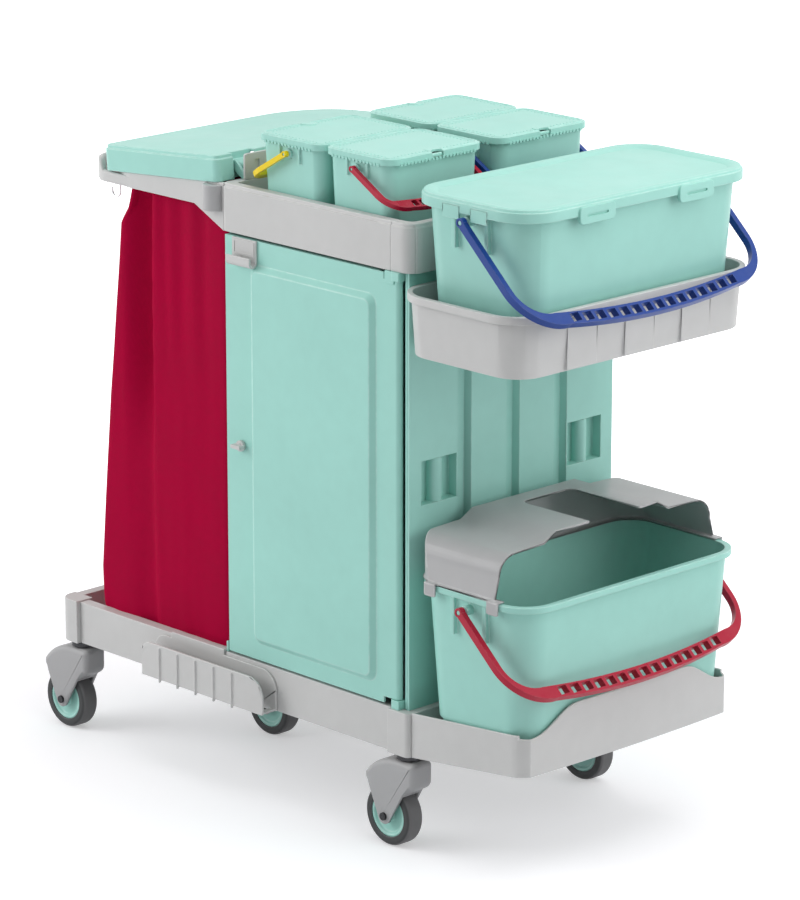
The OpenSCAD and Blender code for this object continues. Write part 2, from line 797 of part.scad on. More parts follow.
// Bent wire hooks under the free end of the ring
module bag_hooks() {
    wire = 4;
    bend = 10;
    color(steel) for (s = [-1, 1]) translate([ring_x0 + 50, s * (ring_half_w - 9), ring_z]) {
        translate([0, 0, -12]) cylinder(d = wire, h = 12);
        translate([-bend, 0, -12]) rotate([90, 0, 0]) rotate_extrude(angle = -180) translate([bend, 0]) circle(d = wire);
        translate([-2 * bend, 0, -12]) cylinder(d = wire, h = 4);
    }
}

// The bag: it hangs inside the ring, swells below it and stands on the deck
bag_z = [deck_z + grate_t + rest_gap, ring_z + 16];

module bag_form(inset, lift) {
    half = ring_half_w - ring_t - 1 - inset;
    x1 = split_x - 3 - inset;
    x0 = ring_x0 + inset;
    levels = [[bag_z[0] + lift, x0 - 18, half_w - base_rim - 7 - inset], [base_top + 60, x0 - 20, half + 5],
        [ring_z - 64, x0 + 40, half], [ring_z - 38, x0 + 56, half], [bag_z[1] + (lift > 0 ? 1 : 0), x0 + 68, half]];
    hull() for (l = levels) translate([0, 0, l[0] - (l[0] > ring_z ? eps : 0)]) linear_extrude(eps)
        plate([l[1], x1], [-l[2], l[2]], [30, 14, 14, 30], $fn = 32);
}

module laundry_bag() {
    color(crimson) difference() {
        bag_form(0, 0);
        bag_form(bag_wall, bag_wall);
    }
}

// Frame of the bag lid: the origin is its pin, and the lid runs towards -X
module bag_lid_place() {
    translate([lid_pin_x, 0, lid_pin_z]) rotate([0, -bag_lid_tilt, 0]) children();
}

module bag_lid() {
    wall = 3;
    h = bag_lid_h;
    x = [-bag_lid_len, 2];
    cut = lid_lug_w / 2 + 9;
    far_r = 110;
    radii = [16, 12, 12, far_r];
    color(mint) bag_lid_place() difference() {
        union() {
            difference() {
                union() {
                    translate([0, 0, -h / 2]) linear_extrude(h - 6)
                        plate(x, [-bag_lid_half_w, bag_lid_half_w], radii);
                    translate([0, 0, h / 2 - 6 - eps]) linear_extrude(6 + eps)
                        plate([x[0] + 3, x[1] - 3], [3 - bag_lid_half_w, bag_lid_half_w - 3], radii - [3, 3, 3, 3]);
                }
                translate([0, 0, -h / 2 - 1]) linear_extrude(h - wall - 1)
                    plate([x[0] + wall + 3, x[1] - wall - 3], [wall + 3 - bag_lid_half_w, bag_lid_half_w - wall - 3],
                        radii - [6, 6, 6, 6]);
                for (s = [-1, 1]) slab([-12, 9], [s * lid_lug_y - cut, s * lid_lug_y + cut], [-h, h]);
            }
            for (s = [-1, 1]) slab([-15, -12], [s * lid_lug_y - cut - 1, s * lid_lug_y + cut + 1], [-h / 2, h / 2 - 5]);
            for (s = [-1, 1]) translate([0, s * lid_lug_y, 0]) {
                slab([-16, 0], [-lid_lug_w / 2, lid_lug_w / 2], [-lid_pin_d, lid_pin_d]);
                pin_y(0, [-lid_lug_w / 2, lid_lug_w / 2], 0, lid_pin_d);
            }
        }
        for (s = [-1, 1]) pin_y(0, [s * lid_lug_y - cut, s * lid_lug_y + cut], 0, lid_pin_d / 2 + pin_clear);
    }
}

// Brackets on the tray's end wall that hold the bag lid's pins
module lid_hinge_brackets() {
    t = 5;
    gap = 0.4;
    foot = tray_rim - 4;
    eye = 8;
    color(mint_dark) for (s = [-1, 1]) translate([0, s * lid_lug_y, 0]) {
        for (k = [-1, 1]) translate([0, k * (lid_lug_w / 2 + gap + t / 2), 0]) across(t)
            polygon(concat([[tray_x[0] + 4, tray_top], [tray_x[0] + foot, tray_top], [tray_x[0] + foot, tray_top + 4]],
                arc([lid_pin_x, lid_pin_z], eye, 70, 250, 10)));
        pin_y(lid_pin_x, [-lid_lug_w / 2 - gap - t, lid_lug_w / 2 + gap + t], lid_pin_z, lid_pin_d / 2);
        slab([tray_x[0] + 6, tray_x[0] + foot], [-lid_lug_w / 2 - gap - 1, lid_lug_w / 2 + gap + 1],
            [tray_top, tray_top + 3]);
    }
}

// Bails

// Outline of a bail: two arms and a bowed grip between them, with its pivots on the Y axis
module bail_outline(half, reach, arm, grip, r, r_in, bow) {
    difference() {
        bail_blank(half, reach + grip, r, bow, 0);
        bail_blank(half - arm, reach, r_in, bow, 1);
    }
}

module bail_blank(half, reach, r, bow, open) {
    chord = half - r - 1.5;
    bow_r = (chord * chord + bow * bow) / (2 * bow);
    plate([-open, reach], [-half, half], [0, r, r, 0]);
    intersection() {
        translate([reach + bow - bow_r, 0]) circle(bow_r, $fn = 360);
        translate([reach - 1, -half]) square([bow + 2, 2 * half]);
    }
}

// A bail with a ladder grip, lying level and pointing along +X from its pivots
module bail(half, reach, arm, grip, t, r, r_in, bow, holes, pin_d) {
    rail = grip * 0.2;
    span = 2 * (half - r) - 6;
    pitch = span / holes;
    chord = half - r;
    difference() {
        union() {
            translate([0, 0, -t / 2]) linear_extrude(t) bail_outline(half, reach, arm, grip, r, r_in, bow);
            for (s = [-1, 1]) pin_y(0, s > 0 ? [half - arm, half] : [-half, arm - half], 0, t * 0.62);
        }
        for (s = [-1, 1]) pin_y(0, s > 0 ? [half - arm - 1, half + 1] : [-half - 1, arm + 1 - half], 0,
            pin_d / 2 + pin_clear);
        for (i = [0:holes - 1]) {
            y = -span / 2 + (i + 0.5) * pitch;
            sag = bow * (1 - pow(y / chord, 2));
            translate([reach + sag + grip / 2, y, 0])
                cube([grip - 2 * rail, pitch * 0.72, 2 * t], center = true);
        }
    }
}

// Large buckets

// Outer face of an ear, and how far its pin stays behind the bail's outer face
ear_out = arm_in - 3;
pin_short = 1;

module big_bucket(z0) {
    wall = bucket_wall;
    top = [bucket_d, bucket_w];
    low = top - 2 * bucket_draft * [1, 1];
    foot = low - [6, 6];
    r = 50;
    inner_h = bucket_h - foot_h;
    step = 2 * bucket_draft * foot_h / bucket_h * [1, 1];
    arch_r = 46;
    translate([bucket_x, 0, z0]) difference() {
        union() {
            translate([0, 0, foot_h]) tub(low + step, top, r, inner_h);
            tub(foot, foot + [3, 3], r - 4, foot_h + 1);
            translate([0, 0, bucket_h - 10]) linear_extrude(10)
                rounded(top[0] + 2 * rim_out, top[1] + 2 * rim_out, r + rim_out);
            for (s = [-1, 1]) {
                pin_y(pivot_x - bucket_x, s > 0 ? [bucket_w / 2 - 12, ear_out] : [-ear_out, 12 - bucket_w / 2],
                    bucket_h - ear_drop, ear_r);
                pin_y(pivot_x - bucket_x, s > 0 ? [ear_out - 1, arm_in + arm_w - pin_short]
                    : [pin_short - arm_in - arm_w, 1 - ear_out], bucket_h - ear_drop, pivot_d / 2);
                for (x = [-34, 34]) slab([pivot_x - bucket_x + x - 4, pivot_x - bucket_x + x + 4],
                    s > 0 ? [bucket_w / 2 - 12, bucket_w / 2 + 5] : [-bucket_w / 2 - 5, 12 - bucket_w / 2],
                    [bucket_h - 70, bucket_h - 9]);
            }
        }
        translate([0, 0, foot_h + wall]) tub(low + step - 2 * wall * [1, 1], top - 2 * wall * [1, 1], r - wall,
            inner_h - wall + 1);
        translate([0, 0, -1]) tub(foot - 2 * wall * [1, 1], foot - 2 * wall * [1, 1], r - 4 - wall, foot_h - wall + 1);
        translate([-25, 0, foot_h - wall - arch_r]) rotate([90, 0, 0]) cylinder(r = arch_r, h = bucket_w, center = true);
    }
}

module big_bail(z0, reach, wall_x) {
    a = rest_angle(reach, wall_x - pivot_x, bail_t);
    translate([pivot_x, 0, z0 + bucket_h - ear_drop]) rotate([0, a, 0])
        bail(arm_in + arm_w, reach, arm_w, grip_w, bail_t, 80, 50, 14, 15, pivot_d);
}

module upper_bucket() {
    color(mint) big_bucket(upper_z);
}

module lower_bucket() {
    color(mint) big_bucket(lower_z);
}

module upper_bail() {
    color(bail_blue) big_bail(upper_z, upper_reach, holder_x1 + corner_stand);
}

module lower_bail() {
    color(bail_red) big_bail(lower_z, lower_reach, bucket_x + bucket_d / 2 - bucket_draft * 0.3);
}

// Lid of the upper bucket: a rolled border, two snap tabs at the front and flaps beside each pivot
module upper_lid() {
    z = upper_z + bucket_h + rest_gap;
    skirt = 13;
    t = 3;
    r = 64;
    border = 9;
    tab_w = 62;
    w = 2 * lid_half_d;
    d = 2 * lid_half_w;
    flaps = [[-46, -12], [12, 46]];
    color(mint) translate([bucket_x, 0, z]) difference() {
        union() {
            translate([0, 0, -skirt]) linear_extrude(skirt + t) rounded(w, d, r);
            translate([0, 0, t - eps]) linear_extrude(4) difference() {
                rounded(w - 6, d - 6, r - 3);
                rounded(w - 6 - 2 * border, d - 6 - 2 * border, r - 3 - border);
            }
            for (s = [-1, 1]) {
                slab([lid_half_d - t, lid_half_d + 1.5], [s * 108 - tab_w / 2, s * 108 + tab_w / 2], [-skirt - 7, -2]);
                for (f = flaps) slab(f + (pivot_x - bucket_x) * [1, 1],
                    s > 0 ? [lid_half_w - t, lid_half_w + 1] : [-lid_half_w - 1, t - lid_half_w], [-skirt - 10, -2]);
            }
        }
        translate([0, 0, -skirt - 1]) linear_extrude(skirt + 1) rounded(w - 2 * t, d - 2 * t, r - t);
    }
}

// Grey bin that the upper bucket stands in, with pads on its front and hooks into the end panel
module bucket_holder() {
    w = holder_x1 - holder_x0;
    d = 2 * holder_half_w;
    draft = 7;
    wall = holder_floor;
    r = 66;
    cx = (holder_x0 + holder_x1) / 2;
    low = [w - 2 * lip, d - 2 * lip] - 2 * draft * [1, 1];
    top = [w - 2 * lip, d - 2 * lip] + 2 * wall * [1, 1];
    pad_w = 64;
    color(grey) translate([cx, 0, holder_bottom]) {
        difference() {
            union() {
                tub(low + 2 * wall * [1, 1], top, r - lip, holder_h);
                translate([0, 0, holder_h - 12]) linear_extrude(12) rounded(w, d, r);
                for (s = [-1, 0, 1]) slab([0, low[0] / 2 + wall + 6], [s * 125 - pad_w / 2, s * 125 + pad_w / 2],
                    [3, holder_h - 16]);
                slab([-w / 2, 0], [-150, 150], [20, holder_h - 1]);
            }
            translate([0, 0, wall]) tub(low, [w - 2 * lip, d - 2 * lip], r - lip - wall, holder_h - wall + eps);
            translate([0, 0, holder_h - 14]) difference() {
                linear_extrude(10) rounded(w - 5, d - 5, r - 2.5);
                linear_extrude(10) rounded(top[0], top[1], r - lip);
                slab([-w, -w / 4], [-160, 160], [-1, 20]);
            }
        }
        for (s = [-1, 1]) slab([-w / 2 - 8, 1 - w / 2], [s * hook_y - hook_w / 2, s * hook_y + hook_w / 2],
            [hook_z - holder_bottom, hook_z - holder_bottom + hook_h]);
    }
}

// Hood on the lower bucket: a roof over both ends with stepped shoulders, a back wall and an open front
hood_gap = [-38, 72];
hood_front = 1032 - 975;

// Half width of the hood at its foot
function hood_half(t) = bucket_w / 2 + rim_out - 1 - t;

// Section of the hood across the cart
function hood_line(t) = let (in = 44, up = hood_h - 50, r = 34 - t) concat(
    [[-hood_half(t), -1]],
    arc([-hood_half(0) + in, up], r, 180, 96, 7),
    [[-138, hood_h - 14 - t], [-112, hood_h - t], [112, hood_h - t], [138, hood_h - 14 - t]],
    arc([hood_half(0) - in, up], r, 84, 0, 7),
    [[hood_half(t), -1]]);

module bucket_hood() {
    t = 3;
    z = lower_z + bucket_h + rest_gap;
    rear = -bucket_d / 2 - rim_out + 1;
    r = 56;
    foot_w = [bucket_d + 2 * rim_out, bucket_w + 2 * rim_out];
    clip_x = [-88, 46];
    color(grey_dark) translate([bucket_x, 0, z]) {
        difference() {
            intersection() {
                along([rear, hood_front]) polygon(hood_line(0));
                linear_extrude(200) rounded(foot_w[0] - 2, foot_w[1] - 2, r);
            }
            intersection() {
                along([rear + t, hood_front + 1]) polygon(hood_line(t));
                translate([0, 0, -1]) linear_extrude(200)
                    rounded(foot_w[0] - 2 - 2 * t, foot_w[1] - 2 - 2 * t, r - t);
            }
            translate([0, 0, hood_h - 40]) linear_extrude(60)
                plate([rear + 34, hood_front + 1], hood_gap, [14, 0, 0, 14]);
        }
        difference() {
            linear_extrude(t) rounded(foot_w[0], foot_w[1], r + 2);
            translate([0, 0, -1]) linear_extrude(t + 2) rounded(bucket_d - 8, bucket_w - 8, r - 10);
            slab([hood_front + 8, bucket_d], [-bucket_w, bucket_w], [-1, t + 1]);
        }
        for (s = [-1, 1], x = clip_x) slab([x, x + 24],
            s > 0 ? [foot_w[1] / 2 + rest_gap, foot_w[1] / 2 + 5] : [-foot_w[1] / 2 - 5, -foot_w[1] / 2 - rest_gap],
            [-18, t]);
        for (s = [-1, 1], x = clip_x) slab([x, x + 24],
            s > 0 ? [foot_w[1] / 2 - 12, foot_w[1] / 2 + 5] : [-foot_w[1] / 2 - 5, 12 - foot_w[1] / 2], [0, t]);
    }
}

// Small buckets: 1 near right, 2 near left, 3 far right, 4 far left

small_places = [[small_right_x, -small_row, 1, bail_red], [small_left_x, -small_row, -1, bail_yellow],
    [small_right_x, small_row, 1, bail_blue], [small_left_x, small_row, -1, bail_green]];
small_body = [small_d - 10, small_w - 10];

// A small bail rests on its bucket's wall, or on the top tray where that comes first
small_bow = 6;
small_tip = small_reach + small_grip_w + small_bow;
small_rest = min(rest_angle(small_reach, small_body[0] / 2 + 2, small_bail_t),
    asin((small_pivot_z - tray_top - rest_gap - small_bail_t / 2) / small_tip));
small_draft = 6;
small_skirt = 8;
small_ear_out = small_arm_in - 1.5;

module small_bucket(i) {
    p = small_places[i];
    wall = small_wall;
    r = 22;
    low = small_body - 2 * small_draft * [1, 1];
    color(mint) translate([p[0], p[1], small_bottom]) difference() {
        union() {
            tub(low, small_body, r, small_h);
            translate([0, 0, small_h - 6]) linear_extrude(6) rounded(small_body[0] + 4, small_body[1] + 4, r + 2);
            for (s = [-1, 1]) {
                y = s > 0 ? [small_body[1] / 2 - 8, small_ear_out] : [-small_ear_out, 8 - small_body[1] / 2];
                pin_y(0, y, small_pivot_z - small_bottom, 7);
                pin_y(0, s > 0 ? [small_ear_out - 1, small_arm_in + small_arm_w - pin_short]
                    : [pin_short - small_arm_in - small_arm_w, 1 - small_ear_out], small_pivot_z - small_bottom,
                    small_pivot_d / 2);
                for (x = [-22, 22]) slab([x - 2.5, x + 2.5], s > 0 ? [y[0], y[1] - 2] : [y[0] + 2, y[1]],
                    [small_h - 34, small_h - small_skirt - 1]);
            }
        }
        translate([0, 0, wall]) tub(low - 2 * wall * [1, 1], small_body - 2 * wall * [1, 1], r - wall, small_h);
    }
}

module small_lid(i) {
    p = small_places[i];
    t = 2.5;
    skirt = small_skirt;
    r = 24;
    color(mint) translate([p[0], p[1], small_bottom + small_h + rest_gap]) difference() {
        union() {
            translate([0, 0, -skirt]) linear_extrude(skirt + t) rounded(small_d, small_w, r);
            translate([0, 0, t - eps]) linear_extrude(1.5) difference() {
                rounded(small_d - 8, small_w - 8, r - 4);
                rounded(small_d - 14, small_w - 14, r - 7);
            }
            translate([p[2] * (small_d / 2 - 12), 0, 0]) cylinder(d = 26, h = t + 2);
        }
        translate([0, 0, -skirt - 1]) linear_extrude(skirt + 1) rounded(small_d - 2 * t, small_w - 2 * t, r - t);
        translate([p[2] * (small_d / 2 + 1), 0, -skirt - 1]) cylinder(d = 24, h = skirt + t + 9);
    }
}

module small_bail(i) {
    p = small_places[i];
    a = small_rest;
    color(p[3]) translate([p[0], p[1], small_pivot_z]) mirror([p[2] < 0 ? 1 : 0, 0, 0]) rotate([0, a, 0])
        bail(small_arm_in + small_arm_w, small_reach, small_arm_w, small_grip_w, small_bail_t, 42, 14, small_bow, 9,
            small_pivot_d);
}

// The whole cart, moved so that the origin is under the middle of its box
module placed() {
    translate([-x_mid, 0, 0]) children();
}

placed() base_frame();
placed() base_corner_caps();
placed() deck_grate();
placed() bucket_tray();
placed() mop_rest();
placed() caster_stems();
placed() caster_fork(0);  // caster_fork_1
placed() caster_axle(0);  // caster_axle_1
placed() caster_hub(0);  // caster_hub_1
placed() caster_tyre(0);  // caster_tyre_1
placed() caster_fork(1);  // caster_fork_2
placed() caster_axle(1);  // caster_axle_2
placed() caster_hub(1);  // caster_hub_2
placed() caster_tyre(1);  // caster_tyre_2
placed() caster_fork(2);  // caster_fork_3
placed() caster_axle(2);  // caster_axle_3
placed() caster_hub(2);  // caster_hub_3
placed() caster_tyre(2);  // caster_tyre_3
placed() caster_fork(3);  // caster_fork_4
placed() caster_axle(3);  // caster_axle_4
placed() caster_hub(3);  // caster_hub_4
placed() caster_tyre(3);  // caster_tyre_4
placed() centre_bracket();
placed() centre_axle();
placed() centre_hub();
placed() centre_tyre();
placed() cabinet_end_panel();
placed() cabinet_rear_panel();
placed() cabinet_side_panel();
placed() door_hinge_blocks();
placed() door();
placed() door_hook();
placed() door_latch();
placed() top_tray();
placed() top_tray_corner_caps();
placed() bag_ring();
placed() ring_clamps();
placed() bag_hooks();
placed() laundry_bag();
placed() bag_lid();
placed() lid_hinge_brackets();
placed() bucket_holder();
placed() upper_bucket();
placed() upper_lid();
placed() upper_bail();
placed() lower_bucket();
placed() bucket_hood();
placed() lower_bail();
placed() small_bucket(0);  // small_bucket_1
placed() small_lid(0);  // small_lid_1
placed() small_bail(0);  // small_bail_1
placed() small_bucket(1);  // small_bucket_2
placed() small_lid(1);  // small_lid_2
placed() small_bail(1);  // small_bail_2
placed() small_bucket(2);  // small_bucket_3
placed() small_lid(2);  // small_lid_3
placed() small_bail(2);  // small_bail_3
placed() small_bucket(3);  // small_bucket_4
placed() small_lid(3);  // small_lid_4
placed() small_bail(3);  // small_bail_4
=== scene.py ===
"""Looks of the janitor cart: finishes, cloth and stage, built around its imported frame."""

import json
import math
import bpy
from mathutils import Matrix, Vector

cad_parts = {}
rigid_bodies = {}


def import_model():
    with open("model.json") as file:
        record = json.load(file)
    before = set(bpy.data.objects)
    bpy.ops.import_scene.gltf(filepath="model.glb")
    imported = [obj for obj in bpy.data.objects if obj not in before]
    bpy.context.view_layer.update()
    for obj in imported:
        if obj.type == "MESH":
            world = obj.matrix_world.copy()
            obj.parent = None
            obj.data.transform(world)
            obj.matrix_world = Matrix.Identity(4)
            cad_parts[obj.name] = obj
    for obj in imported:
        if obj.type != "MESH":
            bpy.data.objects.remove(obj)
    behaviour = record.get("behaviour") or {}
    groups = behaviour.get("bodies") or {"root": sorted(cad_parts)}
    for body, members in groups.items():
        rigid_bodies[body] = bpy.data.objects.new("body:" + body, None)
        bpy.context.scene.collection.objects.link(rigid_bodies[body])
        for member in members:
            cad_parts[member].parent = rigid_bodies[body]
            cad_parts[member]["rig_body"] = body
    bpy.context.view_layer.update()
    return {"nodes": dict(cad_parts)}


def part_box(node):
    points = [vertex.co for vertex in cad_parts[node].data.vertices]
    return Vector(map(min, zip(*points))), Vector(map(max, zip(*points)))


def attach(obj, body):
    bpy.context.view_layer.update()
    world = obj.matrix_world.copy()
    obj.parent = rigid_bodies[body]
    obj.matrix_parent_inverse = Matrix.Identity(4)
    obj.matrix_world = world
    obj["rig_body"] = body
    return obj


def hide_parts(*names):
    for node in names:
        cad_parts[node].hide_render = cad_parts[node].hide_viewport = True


bl_info = {
    "name": "Janitor cart",
    "version": (1, 0, 0),
    "blender": (4, 5, 0),
    "location": "View3D > Sidebar > Cart",
    "description": "Finishes the moulded, metal, rubber and cloth pieces of a janitor cart",
    "category": "Add Mesh",
}

import bmesh
import bpy
from mathutils import Matrix, Vector, noise
from mathutils.bvhtree import BVHTree

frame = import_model()

MM = 0.001
BAG_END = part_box("base_frame")[0].x
WELD = 0.02 * MM
PLASTIC_SPECULAR = 0.3
# strength of the painted highlight on the bails' rounded edges
BAIL_EDGE_GLEAM = 0.1
DUST_COLOUR = (214, 211, 204)
RUBBER_EDGE_GLEAM = (128, 127, 126)
# paler grey of the painted highlight on the tyres' rounded edges
SHEEN_COLOUR = (230, 30, 90)


def srgb(red, green, blue):
    """A display colour, 0 to 255 a channel, as the linear colour that shaders and properties hold."""
    def linear(v):
        v /= 255
        return v / 12.92 if v <= 0.04045 else ((v + 0.055) / 1.055) ** 2.4
    return (linear(red), linear(green), linear(blue))


def at(x, y, z):
    """A point given in millimetres from the base's bag end, the cart's middle and the floor."""
    return Vector((BAG_END + x * MM, y * MM, z * MM))


def colour_of(text, default):
    return bpy.props.FloatVectorProperty(name=text, description=text, subtype="COLOR", size=3,
                                         min=0, max=1, default=default)


def length_of(text, default):
    return bpy.props.FloatProperty(name=text, description=text, subtype="DISTANCE", unit="LENGTH",
                                   default=default, min=0)


def amount_of(text, default):
    return bpy.props.FloatProperty(name=text, description=text, default=default, min=0)


class CartColours(bpy.types.PropertyGroup):
    """Colours of the cart's finishes."""
    mint: colour_of("Mint of the buckets, lids, panels and door", srgb(158, 213, 202))
    grey: colour_of("Light grey of the base, tray, ring, bucket holder, hook and knob", srgb(199, 199, 198))
    hood: colour_of("Darker grey of the hood and the clamps", srgb(174, 174, 175))
    fork: colour_of("Grey of the caster forks", srgb(168, 168, 169))
    crimson: colour_of("Crimson of the laundry bag", srgb(176, 0, 56))
    blue: colour_of("Blue of the bails", srgb(22, 62, 142))
    red: colour_of("Red of the bails", srgb(174, 6, 48))
    yellow: colour_of("Yellow of the bail", srgb(240, 210, 12))
    green: colour_of("Green of the bail", srgb(48, 154, 86))
    rubber: colour_of("Dark grey of the tyres' sides", srgb(54, 56, 57))
    tread: colour_of("Paler grey of the tyres' treads", srgb(104, 104, 105))
    steel: colour_of("Steel of the bag's hooks", srgb(120, 121, 124))
    dark_steel: colour_of("Dull steel of axles and stems", srgb(66, 66, 68))


class CartFinish(bpy.types.PropertyGroup):
    """Sizes of the cart's finishes."""
    edge: length_of("Radius of a moulded edge", 1.4 * MM)
    fine_edge: length_of("Radius of the edges of small mouldings", 0.7 * MM)
    crown: length_of("Radius of the caster forks' crowns", 9 * MM)
    grain: length_of("Size of one grain of the moulded skin", 1.5 * MM)
    grain_depth: length_of("Depth of the moulded skin's grain", 0.06 * MM)
    thread: length_of("Width of one thread of the bag's cloth", 0.9 * MM)
    cloth: length_of("Thickness of the bag's cloth", 0.9 * MM)
    fold: length_of("Depth of the bag's deepest fold", 30 * MM)
    # painted highlight: how far the rounded edges are lifted towards white
    wear: amount_of("Strength of the paler, worn edges", 0.35)
    dust: amount_of("Strength of the dust on upward faces", 0.06)


class CartStage(bpy.types.PropertyGroup):
    """Light and floor of the stage."""
    floor: colour_of("Pale floor", srgb(226, 227, 230))
    side_power: amount_of("Watts of the softbox on the door's side", 59)
    end_power: amount_of("Watts of the softbox at the bucket end", 34)
    top_power: amount_of("Watts of the softbox above", 36)
    ambient: amount_of("Strength of the light from all around", 0.66)
    gap: amount_of("Share of that light that is missing between the two side softboxes", 0.75)


def group_tree(name, inputs, outputs):
    """A new shader node group with named sockets, and its input and output nodes."""
    tree = bpy.data.node_groups.new(name, "ShaderNodeTree")
    for label, kind, value in inputs:
        socket = tree.interface.new_socket(name=label, in_out="INPUT", socket_type=kind)
        if value is not None:
            socket.default_value = value
    for label, kind in outputs:
        tree.interface.new_socket(name=label, in_out="OUTPUT", socket_type=kind)
    return tree, tree.nodes.new("NodeGroupInput"), tree.nodes.new("NodeGroupOutput")


def add(tree, kind, **values):
    """A node of that kind; values are its settings, or its inputs by number as in0=."""
    node = tree.nodes.new(kind)
    for key, value in values.items():
        if key.startswith("in"):
            node.inputs[int(key[2:])].default_value = value
        else:
            setattr(node, key, value)
    return node


def wire(tree, start, end):
    tree.links.new(start, end)


def sums(tree, operation, first, second):
    """A Math node; first and second are sockets or numbers."""
    node = add(tree, "ShaderNodeMath", operation=operation)
    for k, value in enumerate((first, second)):
        if isinstance(value, (int, float)):
            node.inputs[k].default_value = value
        else:
            wire(tree, value, node.inputs[k])
    return node.outputs[0]


def spread(tree, value, low, high, new_low=0.0, new_high=1.0):
    """A clamped Map Range of value from low..high to new_low..new_high."""
    node = add(tree, "ShaderNodeMapRange", in1=low, in2=high, in3=new_low, in4=new_high)
    wire(tree, value, node.inputs[0])
    return node.outputs[0]


def noisy(tree, vector, scale, detail=2.0, rough=0.5):
    node = add(tree, "ShaderNodeTexNoise")
    node.inputs["Detail"].default_value = detail
    node.inputs["Roughness"].default_value = rough
    wire(tree, vector, node.inputs["Vector"])
    if isinstance(scale, (int, float)):
        node.inputs["Scale"].default_value = scale
    else:
        wire(tree, scale, node.inputs["Scale"])
    return node.outputs[0]


def make_moulded_skin():
    """Pebbled grain of moulded plastic, with the broad clouds of tone that filling the mould leaves."""
    tree, start, end = group_tree(
        "moulded_skin",
        [("Vector", "NodeSocketVector", None), ("Grains", "NodeSocketFloat", 600.0)],
        [("Tone", "NodeSocketFloat"), ("Gloss", "NodeSocketFloat"), ("Height", "NodeSocketFloat")])
    place, grains = start.outputs["Vector"], start.outputs["Grains"]
    cells = add(tree, "ShaderNodeTexVoronoi", feature="SMOOTH_F1")
    wire(tree, place, cells.inputs["Vector"])
    wire(tree, grains, cells.inputs["Scale"])
    fine = noisy(tree, place, sums(tree, "MULTIPLY", grains, 1.7))
    pebble = sums(tree, "ADD", sums(tree, "MULTIPLY", cells.outputs["Distance"], 0.7),
                  sums(tree, "MULTIPLY", fine, 0.5))
    wire(tree, pebble, end.inputs["Height"])
    clouds = noisy(tree, place, 5.0, 3.0)
    streaks = noisy(tree, place, 38.0, 2.0)
    tone = sums(tree, "ADD", sums(tree, "MULTIPLY", clouds, 0.7), sums(tree, "MULTIPLY", streaks, 0.3))
    wire(tree, spread(tree, tone, 0.3, 0.7), end.inputs["Tone"])
    wire(tree, spread(tree, noisy(tree, place, 14.0, 4.0), 0.3, 0.7), end.inputs["Gloss"])
    return tree


def make_edge_wear():
    """Mask of the painted highlight on the rounded edges, where moulded edges catch the light, broken up by
    a little noise.
    """
    tree, start, end = group_tree(
        "edge_wear",
        [("Vector", "NodeSocketVector", None), ("Edge", "NodeSocketFloat", 0.0),
         ("Amount", "NodeSocketFloat", 0.4)],
        [("Mask", "NodeSocketFloat")])
    highlit = spread(tree, noisy(tree, start.outputs["Vector"], 60.0, 4.0, 0.65), 0.32, 0.6)
    gleaming = sums(tree, "MULTIPLY", start.outputs["Edge"], highlit)
    mask = sums(tree, "MULTIPLY", gleaming, start.outputs["Amount"])
    wire(tree, mask, end.inputs["Mask"])
    return tree


def make_dust():
    """Mask of the faint dust that settles on faces that look upwards."""
    tree, start, end = group_tree(
        "settled_dust",
        [("Vector", "NodeSocketVector", None), ("Amount", "NodeSocketFloat", 0.1)],
        [("Mask", "NodeSocketFloat")])
    place = add(tree, "ShaderNodeTexCoord")
    parts = add(tree, "ShaderNodeSeparateXYZ")
    wire(tree, place.outputs["Normal"], parts.inputs[0])
    up = spread(tree, parts.outputs["Z"], 0.55, 0.95)
    clumps = spread(tree, noisy(tree, start.outputs["Vector"], 24.0, 6.0, 0.7), 0.35, 0.7)
    mask = sums(tree, "MULTIPLY", sums(tree, "MULTIPLY", up, clumps), start.outputs["Amount"])
    wire(tree, mask, end.inputs["Mask"])
    return tree


def make_weave():
    """Plain weave of the bag's cloth: threads along and across, with slubs and uneven dye."""
    tree, start, end = group_tree(
        "plain_weave",
        [("Vector", "NodeSocketVector", None), ("Threads", "NodeSocketFloat", 1100.0)],
        [("Tone", "NodeSocketFloat"), ("Height", "NodeSocketFloat")])
    place, threads = start.outputs["Vector"], start.outputs["Threads"]
    bands = []
    for direction in ("X", "Y"):
        band = add(tree, "ShaderNodeTexWave", wave_type="BANDS", bands_direction=direction,
                   wave_profile="SIN")
        band.inputs["Distortion"].default_value = 0.6
        band.inputs["Detail"].default_value = 1.0
        wire(tree, place, band.inputs["Vector"])
        wire(tree, sums(tree, "MULTIPLY", threads, 0.159), band.inputs["Scale"])
        bands.append(band.outputs["Fac"])
    wire(tree, sums(tree, "MAXIMUM", *bands), end.inputs["Height"])
    slub = spread(tree, noisy(tree, place, 90.0, 3.0), 0.3, 0.7)
    dye = spread(tree, noisy(tree, place, 7.0, 3.0), 0.3, 0.7)
    tone = sums(tree, "ADD", sums(tree, "MULTIPLY", slub, 0.4), sums(tree, "MULTIPLY", dye, 0.6))
    wire(tree, tone, end.inputs["Tone"])
    return tree


def make_brushed():
    """Fine lines of drawn or turned metal."""
    tree, start, end = group_tree(
        "drawn_metal", [("Vector", "NodeSocketVector", None)],
        [("Tone", "NodeSocketFloat"), ("Height", "NodeSocketFloat")])
    stretch = add(tree, "ShaderNodeMapping")
    stretch.inputs["Scale"].default_value = (900, 120, 900)
    wire(tree, start.outputs["Vector"], stretch.inputs["Vector"])
    lines = noisy(tree, stretch.outputs[0], 1.0, 3.0)
    wire(tree, spread(tree, lines, 0.3, 0.7), end.inputs["Tone"])
    wire(tree, lines, end.inputs["Height"])
    return tree


